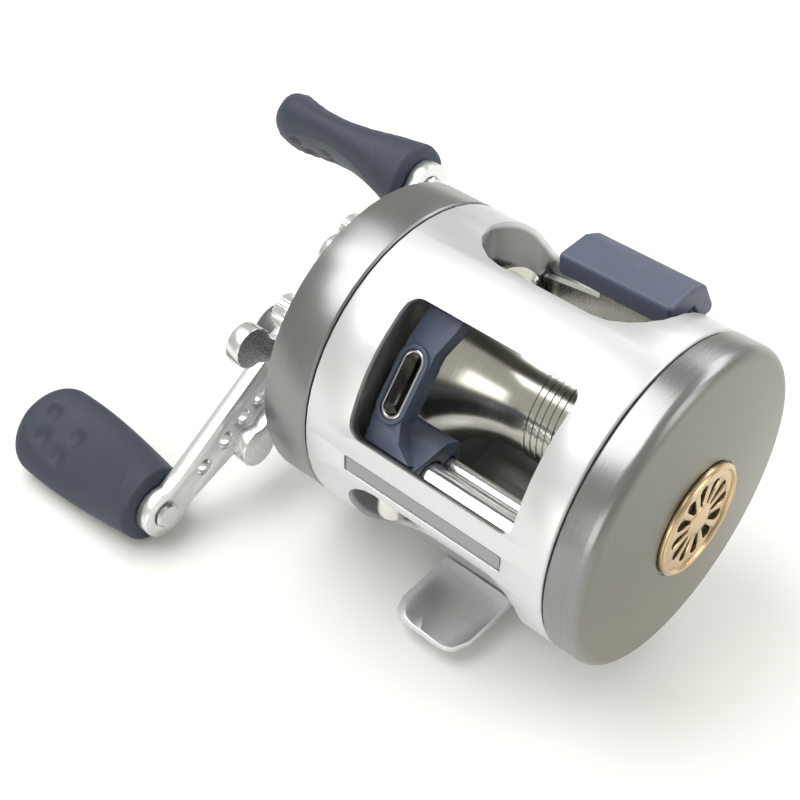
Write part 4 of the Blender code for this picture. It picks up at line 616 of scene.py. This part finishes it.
class REEL_OT_inside(bpy.types.Operator):
    """Finishes the gears, the drag washer and the magnet"""

    bl_idname = "reel.inside"
    bl_label = "Inside pieces"

    def execute(self, context):
        brass = satin_metal("brass_look", (0.72, 0.53, 0.27), 0.3, 3000.0, 0.01, metallic=1.0)
        for node in ("idler_gear", "level_wind_drive_gear", "main_gear", "pinion_gear", "worm_end_bush"):
            set_material(node, brass)
        set_material("worm_gear", moulded_plastic("worm_gear_look", (0.05, 0.055, 0.07)))
        s = Surface("fibre_look")
        weave = (s.y * 9000.0).sine() * (s.z * 9000.0).sine()
        set_material("drag_washer", s.set(s.shade((0.05, 0.05, 0.05), weave * 0.3 + 1.0), 0.8, weave, 0.03))
        set_material("brake_magnet_ring", satin_metal("magnet_look", (0.16, 0.16, 0.17), 0.5, metallic=0.6))
        return {"FINISHED"}


class REEL_OT_spool(bpy.types.Operator):
    """Builds the smooth spool with its bell, hollow ends and turned grooves"""

    bl_idname = "reel.spool"
    bl_label = "Spool"

    def execute(self, context):
        left, right = (v / MM for v in span_x("spool"))
        radius, arbor = radius_of("spool") / MM, 9.2
        bell, tight, flange = left + 14.5, right - 6.0, 1.2
        profile = [(left, radius), (left + 0.8, radius)]
        for i in range(25):
            t = i / 24
            profile.append((left + flange + (bell - left - flange) * t, arbor + (radius - 0.9 - arbor) * (1 - t) ** 2.2))
        for i in range(5):
            x = bell + 1.6 + i * 1.15
            profile += [(x, arbor), (x + 0.12, arbor + 0.22), (x + 0.5, arbor + 0.22), (x + 0.62, arbor)]
        for i in range(17):
            t = i / 16
            profile.append((tight + (right - flange - tight) * t, arbor + (radius - 0.9 - arbor) * t**2.2))
        profile += [(right - 0.8, radius), (right, radius), (right, radius - 1.6), (right - 6.6, arbor - 1.3)]
        profile += [(3.0, arbor - 1.3), (3.0, 4.0), (right - 1.2, 4.0), (right - 1.2, 1.7)]
        profile += [(left + 1.2, 1.7), (left + 1.2, 4.0), (-1.0, 4.0), (-1.0, arbor - 1.3), (left + 10.0, arbor - 1.3)]
        profile += [(left + 1.4, radius - 2.6), (left, radius - 1.6)]
        s = Surface("spool_look")
        r = s.ring_distance(SPOOL)
        lines = s.noise(1.0, 4.0, 0.6, s.vector(s.x * 2200.0, r * 2200.0, (s.y + s.z) * 25.0))
        broad = s.noise(70.0, 2.0)
        base = s.shade((0.50, 0.49, 0.44), (lines - 0.5) * 0.18 + (broad - 0.5) * 0.16 + 1.0)
        polish = s.set(base, (lines - 0.5) * 0.10 + 0.20, lines, 0.008, metallic=1.0)
        finish_piece(
            "spool_skin", lathe(profile, SPOOL, 128), polish, "spool_unit", ("spool",), smooth=30
        )
        return {"FINISHED"}


class REEL_OT_levelwind(bpy.types.Operator):
    """Finishes the line guide and worm tube, and builds the eyelet ring and the pawl cap"""

    bl_idname = "reel.levelwind"
    bl_label = "Level wind"

    def execute(self, context):
        slate = moulded_plastic("guide_look", tuple(context.scene.reel_colours.guide), 0.40)
        set_material("line_guide", slate, 0.45, flat=True)
        chrome = turned_metal("chrome_look", (0.80, 0.81, 0.83), 0.14, middle("worm_tube"), 1800.0, 0.002)
        set_material("worm_tube", chrome)
        centre = middle("line_guide_eyelet")
        liner = satin_metal("eyelet_look", (0.58, 0.59, 0.60), 0.16, 3000.0, 0.002, metallic=1.0)
        self.ring("eyelet_liner", centre, 1.62, 0.32, 1.74, liner, ("line_guide_eyelet",), "chrome")
        self.ring("eyelet_lip", centre, 2.30, 0.50, 1.92, slate, (), "slate_plastic")
        cap = middle("pawl_cap")
        low, high = (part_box("pawl_cap")[i].z / MM for i in (0, 1))
        radius = radius_of("pawl_cap") / MM
        profile = [(low, 0.0), (low, radius - 1.1), (low + 0.15, radius - 0.6), (low + 0.5, radius - 0.2), (low + 1.0, radius)]
        profile += [(high - 0.3, radius), (high, radius - 0.3), (high, 1.3), (high - 2.0, 1.3), (high - 2.0, 0.0)]
        cream = satin_metal("pawl_cap_look", (0.80, 0.79, 0.74), 0.26, 3000.0, 0.006, metallic=0.9)
        finish_piece("pawl_cap_skin", lathe(profile, cap, 64, "Z"), cream, "guide", ("pawl_cap",))
        return {"FINISHED"}

    def ring(self, name, centre, radius, section, depth, material, replaces, slot):
        """A stadium-shaped ring with a rounded section, facing the front window."""
        turn = radians(49.9)
        normal = Vector((0, -sin(turn), cos(turn)))
        rise = Vector((0, cos(turn), sin(turn)))
        centre = in_mm(centre)
        half = 3.6
        path = []
        for side in (1, -1):
            for i in range(17):
                a = pi * i / 16 + (0 if side == 1 else pi)
                path.append((radius * cos(a), side * half + radius * sin(a), cos(a), sin(a)))
        bm = bmesh.new()
        rings = []
        for u, v, du, dv in path:
            ring = []
            for i in range(14):
                a = 2 * pi * i / 14
                out = section * cos(a)
                along = max(-depth, min(depth, depth * 1.25 * sin(a)))
                at = centre + Vector((1, 0, 0)) * (u + du * out) + rise * (v + dv * out) + normal * along
                ring.append(bm.verts.new(at))
            rings.append(ring)
        for k, first in enumerate(rings):
            second = rings[(k + 1) % len(rings)]
            for i in range(14):
                j = (i + 1) % 14
                bm.faces.new((first[i], first[j], second[j], second[i]))
        finish_piece(name, bm, material, "guide", replaces, smooth=60)


class REEL_OT_thumbrest(bpy.types.Operator):
    """Finishes the thumb rest"""

    bl_idname = "reel.thumbrest"
    bl_label = "Thumb rest"

    def execute(self, context):
        grip = soft_rubber("thumb_rest_look", tuple(context.scene.reel_colours.thumb_rest), 0.50, 2600.0, 0.012)
        made = set_material("thumb_rest", grip)
        made.modifiers.remove(made.modifiers["sharp edges"])
        weighted = made.modifiers.new("normals", "WEIGHTED_NORMAL")
        weighted.weight = 90
        return {"FINISHED"}


class REEL_OT_handle(bpy.types.Operator):
    """Finishes the handle arm and the star drag, and builds the nut cap"""

    bl_idname = "reel.handle"
    bl_label = "Handle and star"

    def execute(self, context):
        pale = satin_metal("handle_look", (0.74, 0.75, 0.745), 0.30, 3600.0, 0.006, metallic=0.92)
        set_material("handle_arm", pale, 0.3, flat=True)
        star = set_material("star_drag", satin_metal("star_look", (0.70, 0.71, 0.71), 0.27, 3600.0, 0.006, metallic=0.95), 0.6, flat=True)
        star.modifiers["edge"].segments = 3
        x0, x1 = (v / MM for v in span_x("handle_nut_cap"))
        outer = radius_of("handle_nut_cap") / MM
        profile = [(x1, outer - 0.8), (x1, outer - 0.1), (x1 - 0.1, outer), (x0 + 1.3, outer), (x0 + 0.8, outer - 0.15)]
        profile += [(x0 + 0.3, outer - 0.65), (x0, outer - 1.5), (x0, 1.4), (x0 + 0.8, 1.4), (x0 + 0.8, outer - 0.8)]
        dark = turned_metal("nut_cap_look", (0.20, 0.20, 0.21), 0.28, DRIVE)
        finish_piece("nut_cap_skin", lathe(profile, DRIVE, 72), dark, "drive", ("handle_nut_cap",))
        set_material("nut_cap_screw", turned_metal("screw_look", (0.62, 0.62, 0.61), 0.25, DRIVE))
        return {"FINISHED"}


class REEL_OT_knobs(bpy.types.Operator):
    """Builds both knobs, with their dimples and the raised line round each broad face"""

    bl_idname = "reel.knobs"
    bl_label = "Knobs"

    def execute(self, context):
        grip = soft_rubber("knob_look", tuple(context.scene.reel_colours.grip))
        depth = context.scene.reel_sizes.dimple / MM
        for name, pin, body, angle in (
            ("knob_front", "knob_pin_front", "front_knob", 28.0),
            ("knob_rear", "knob_pin_rear", "rear_knob", 125.0),
        ):
            self.knob(name, middle(pin), body, radians(angle), depth, grip)
        return {"FINISHED"}

    def knob(self, name, centre, body, angle, dimple, material):
        far, near = (v / MM for v in span_x(name))
        length, base = near - far, 6.6
        centre = in_mm(centre)
        around, rows = 72, 90
        bm = bmesh.new()
        rings = []
        for row in range(rows + 1):
            t = (1 - cos(pi * row / rows)) / 2
            broad = base + 1.9 * sin(pi * min(1.0, t * 0.72)) ** 1.1
            thin = base - 2.6 * sin(pi * min(1.0, t * 0.92)) ** 1.5 - 1.1 * t
            close = sqrt(max(0.0, 1 - max(0.0, (t - 0.80) / 0.20) ** 2.6))
            root = 1 - 0.14 * max(0.0, 1 - t / 0.03) ** 2
            broad *= root * max(close, 0.02)
            thin *= root * max(close**0.6, 0.04)
            ring = []
            for i in range(around):
                a = 2 * pi * i / around
                c, s = cos(a), sin(a)
                u = broad * abs(c) ** 0.85 * (1 if c >= 0 else -1)
                v = thin * abs(s) ** 0.85 * (1 if s >= 0 else -1)
                along = t * length
                push = 0.0
                for place, side in ((25.5, -1.9), (26.5, 2.4), (19.5, 1.2), (20.5, -3.2)):
                    away = hypot(along - place, u - side)
                    push -= dimple * exp(-((away / 1.35) ** 4))
                edge = hypot((along - 17.5) / 13.6, u / 5.9)
                push += 0.22 * exp(-(((edge - 1.0) / 0.05) ** 2))
                v += push * s
                x = near - along
                y = centre.y + u * cos(angle) - v * sin(angle)
                z = centre.z + u * sin(angle) + v * cos(angle)
                ring.append(bm.verts.new((x, y, z)))
            rings.append(ring)
        for first, second in zip(rings, rings[1:]):
            for i in range(around):
                j = (i + 1) % around
                bm.faces.new((first[i], first[j], second[j], second[i]))
        bm.faces.new(rings[0])
        bm.faces.new(rings[-1])
        finish_piece(name + "_grip", bm, material, body, (name,), smooth=50)


class REEL_OT_screws(bpy.types.Operator):
    """Builds the knurled thumbscrews and finishes the cast tension cap"""

    bl_idname = "reel.screws"
    bl_label = "Thumbscrews"

    def execute(self, context):
        count = context.scene.reel_sizes.knurls
        for number in (1, 2, 3):
            node = f"takedown_thumbscrew_{number}"
            centre = middle(node)
            bright = turned_metal(f"knurl_look_{number}", (0.78, 0.78, 0.77), 0.2, centre)
            x0, x1 = (v / MM for v in span_x(node))
            radius = radius_of(node) / MM
            bm = bmesh.new()
            stations = [(x0, 0.72), (x0 + 0.25, 0.92), (x0 + 0.6, 1.0), (x0 + 3.9, 1.0), (x0 + 4.2, 0.94), (x0 + 4.4, 0.78)]
            at = in_mm(centre)
            rings = []
            for x, share in stations:
                ring = []
                for i in range(count * 4):
                    a = 2 * pi * i / (count * 4)
                    ridge = 0.0 if i % 4 in (0, 1) else 0.22
                    r = radius * share - (ridge if share > 0.9 else 0.1)
                    ring.append(bm.verts.new((x, at.y + r * cos(a), at.z + r * sin(a))))
                rings.append(ring)
            for first, second in zip(rings, rings[1:]):
                for i in range(len(first)):
                    j = (i + 1) % len(first)
                    bm.faces.new((first[i], first[j], second[j], second[i]))
            bm.faces.new(rings[0])
            bm.faces.new(rings[-1])
            shank = lathe([(x0 + 4.3, 0.0), (x0 + 4.3, 1.2), (x1, 1.2), (x1, 0.0)], centre, 24)
            finish_piece(f"thumbscrew_shank_{number}", shank, bright, "housing")
            finish_piece(f"thumbscrew_head_{number}", bm, bright, "housing", (node,), smooth=25)
        set_material("cast_tension_cap", turned_metal("tension_look", (0.7, 0.7, 0.69), 0.22, SPOOL), 0.12, flat=True)
        return {"FINISHED"}


class REEL_OT_stage(bpy.types.Operator):
    """Makes the pale floor, the soft studio light and the camera"""

    bl_idname = "reel.stage"
    bl_label = "Stage"

    def execute(self, context):
        scene = context.scene
        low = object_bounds()[0].z
        mesh = bpy.data.meshes.new("floor")
        size = 3.0
        corners = [(-size, -size, low), (size, -size, low), (size, size, low), (-size, size, low)]
        mesh.from_pydata(corners, [], [(0, 1, 2, 3)])
        s = Surface("floor_look")
        s.set(s.shade((0.86, 0.855, 0.835), (s.noise(6.0, 2.0) - 0.5) * 0.02 + 1.0), 0.75, metallic=0.0)
        mesh.materials.append(s.material)
        floor = bpy.data.objects.new("floor", mesh)
        scene.collection.objects.link(floor)
        floor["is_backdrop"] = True

        world = bpy.data.worlds.new("studio")
        scene.world = world
        world.use_nodes = True
        world.node_tree.nodes["Background"].inputs["Color"].default_value = (1.0, 0.985, 0.915, 1.0)
        world.node_tree.nodes["Background"].inputs["Strength"].default_value = 0.62

        target = Vector((-0.01, 0.0, 0.028))
        for name, place, width, height, power, colour in (
            ("key", (-0.22, -0.10, 0.55), 0.55, 0.40, 3.0, (0.97, 0.985, 1.0)),
            ("front", (0.10, -0.60, 0.16), 0.50, 0.25, 0.9, (1.0, 0.985, 0.95)),
            ("palm", (0.50, 0.22, 0.30), 0.25, 0.45, 0.8, (0.97, 0.985, 1.0)),
            ("back", (0.10, 0.50, 0.40), 0.60, 0.25, 1.6, (0.95, 0.98, 1.0)),
        ):
            lamp = bpy.data.lights.new(name, "AREA")
            lamp.shape = "RECTANGLE"
            lamp.size, lamp.size_y = width, height
            lamp.energy = power
            lamp.color = colour
            made = bpy.data.objects.new(name, lamp)
            made.location = place
            made.rotation_euler = (target - Vector(place)).to_track_quat("-Z", "Y").to_euler()
            scene.collection.objects.link(made)

        camera = bpy.data.cameras.new("camera")
        camera.lens, camera.sensor_width = 64.8, 36.0
        camera.clip_start, camera.clip_end = 0.01, 20.0
        made = bpy.data.objects.new("camera", camera)
        right, up = Vector((0.739, 0.673, -0.013)), Vector((-0.458, 0.516, 0.724))
        right.normalize()
        back = right.cross(up).normalized()
        up = back.cross(right)
        turn = Matrix((right, up, back)).transposed().to_4x4()
        made.matrix_world = Matrix.Translation((0.0920, -0.1275, 0.1828)) @ turn
        scene.collection.objects.link(made)
        scene.camera = made
        scene.view_settings.view_transform = "Standard"
        scene.view_settings.exposure = 0.0
        return {"FINISHED"}


class REEL_PT_panel(bpy.types.Panel):
    """Lists the reel's settings and builders"""

    bl_idname = "REEL_PT_panel"
    bl_label = "Reel"
    bl_space_type = "VIEW_3D"
    bl_region_type = "UI"
    bl_category = "Reel"

    def draw(self, context):
        for group in (context.scene.reel_colours, context.scene.reel_sizes):
            for name in group.__annotations__:
                self.layout.prop(group, name)
        for builder in BUILDERS:
            self.layout.operator(builder.bl_idname)


BUILDERS = (
    REEL_OT_frame,
    REEL_OT_covers,
    REEL_OT_badge,
    REEL_OT_foot,
    REEL_OT_inside,
    REEL_OT_spool,
    REEL_OT_levelwind,
    REEL_OT_thumbrest,
    REEL_OT_handle,
    REEL_OT_knobs,
    REEL_OT_screws,
    REEL_OT_stage,
)
CLASSES = (ReelColours, ReelSizes, *BUILDERS, REEL_PT_panel)


def register():
    for cls in CLASSES:
        bpy.utils.register_class(cls)
    bpy.types.Scene.reel_colours = bpy.props.PointerProperty(type=ReelColours)
    bpy.types.Scene.reel_sizes = bpy.props.PointerProperty(type=ReelSizes)


def unregister():
    del bpy.types.Scene.reel_sizes
    del bpy.types.Scene.reel_colours
    for cls in reversed(CLASSES):
        bpy.utils.unregister_class(cls)


def main():
    register()
    bpy.ops.reel.frame()
    bpy.ops.reel.covers()
    bpy.ops.reel.badge()
    bpy.ops.reel.foot()
    bpy.ops.reel.inside()
    bpy.ops.reel.spool()
    bpy.ops.reel.levelwind()
    bpy.ops.reel.thumbrest()
    bpy.ops.reel.handle()
    bpy.ops.reel.knobs()
    bpy.ops.reel.screws()
    bpy.ops.reel.stage()


if __name__ == "__main__":
    main()
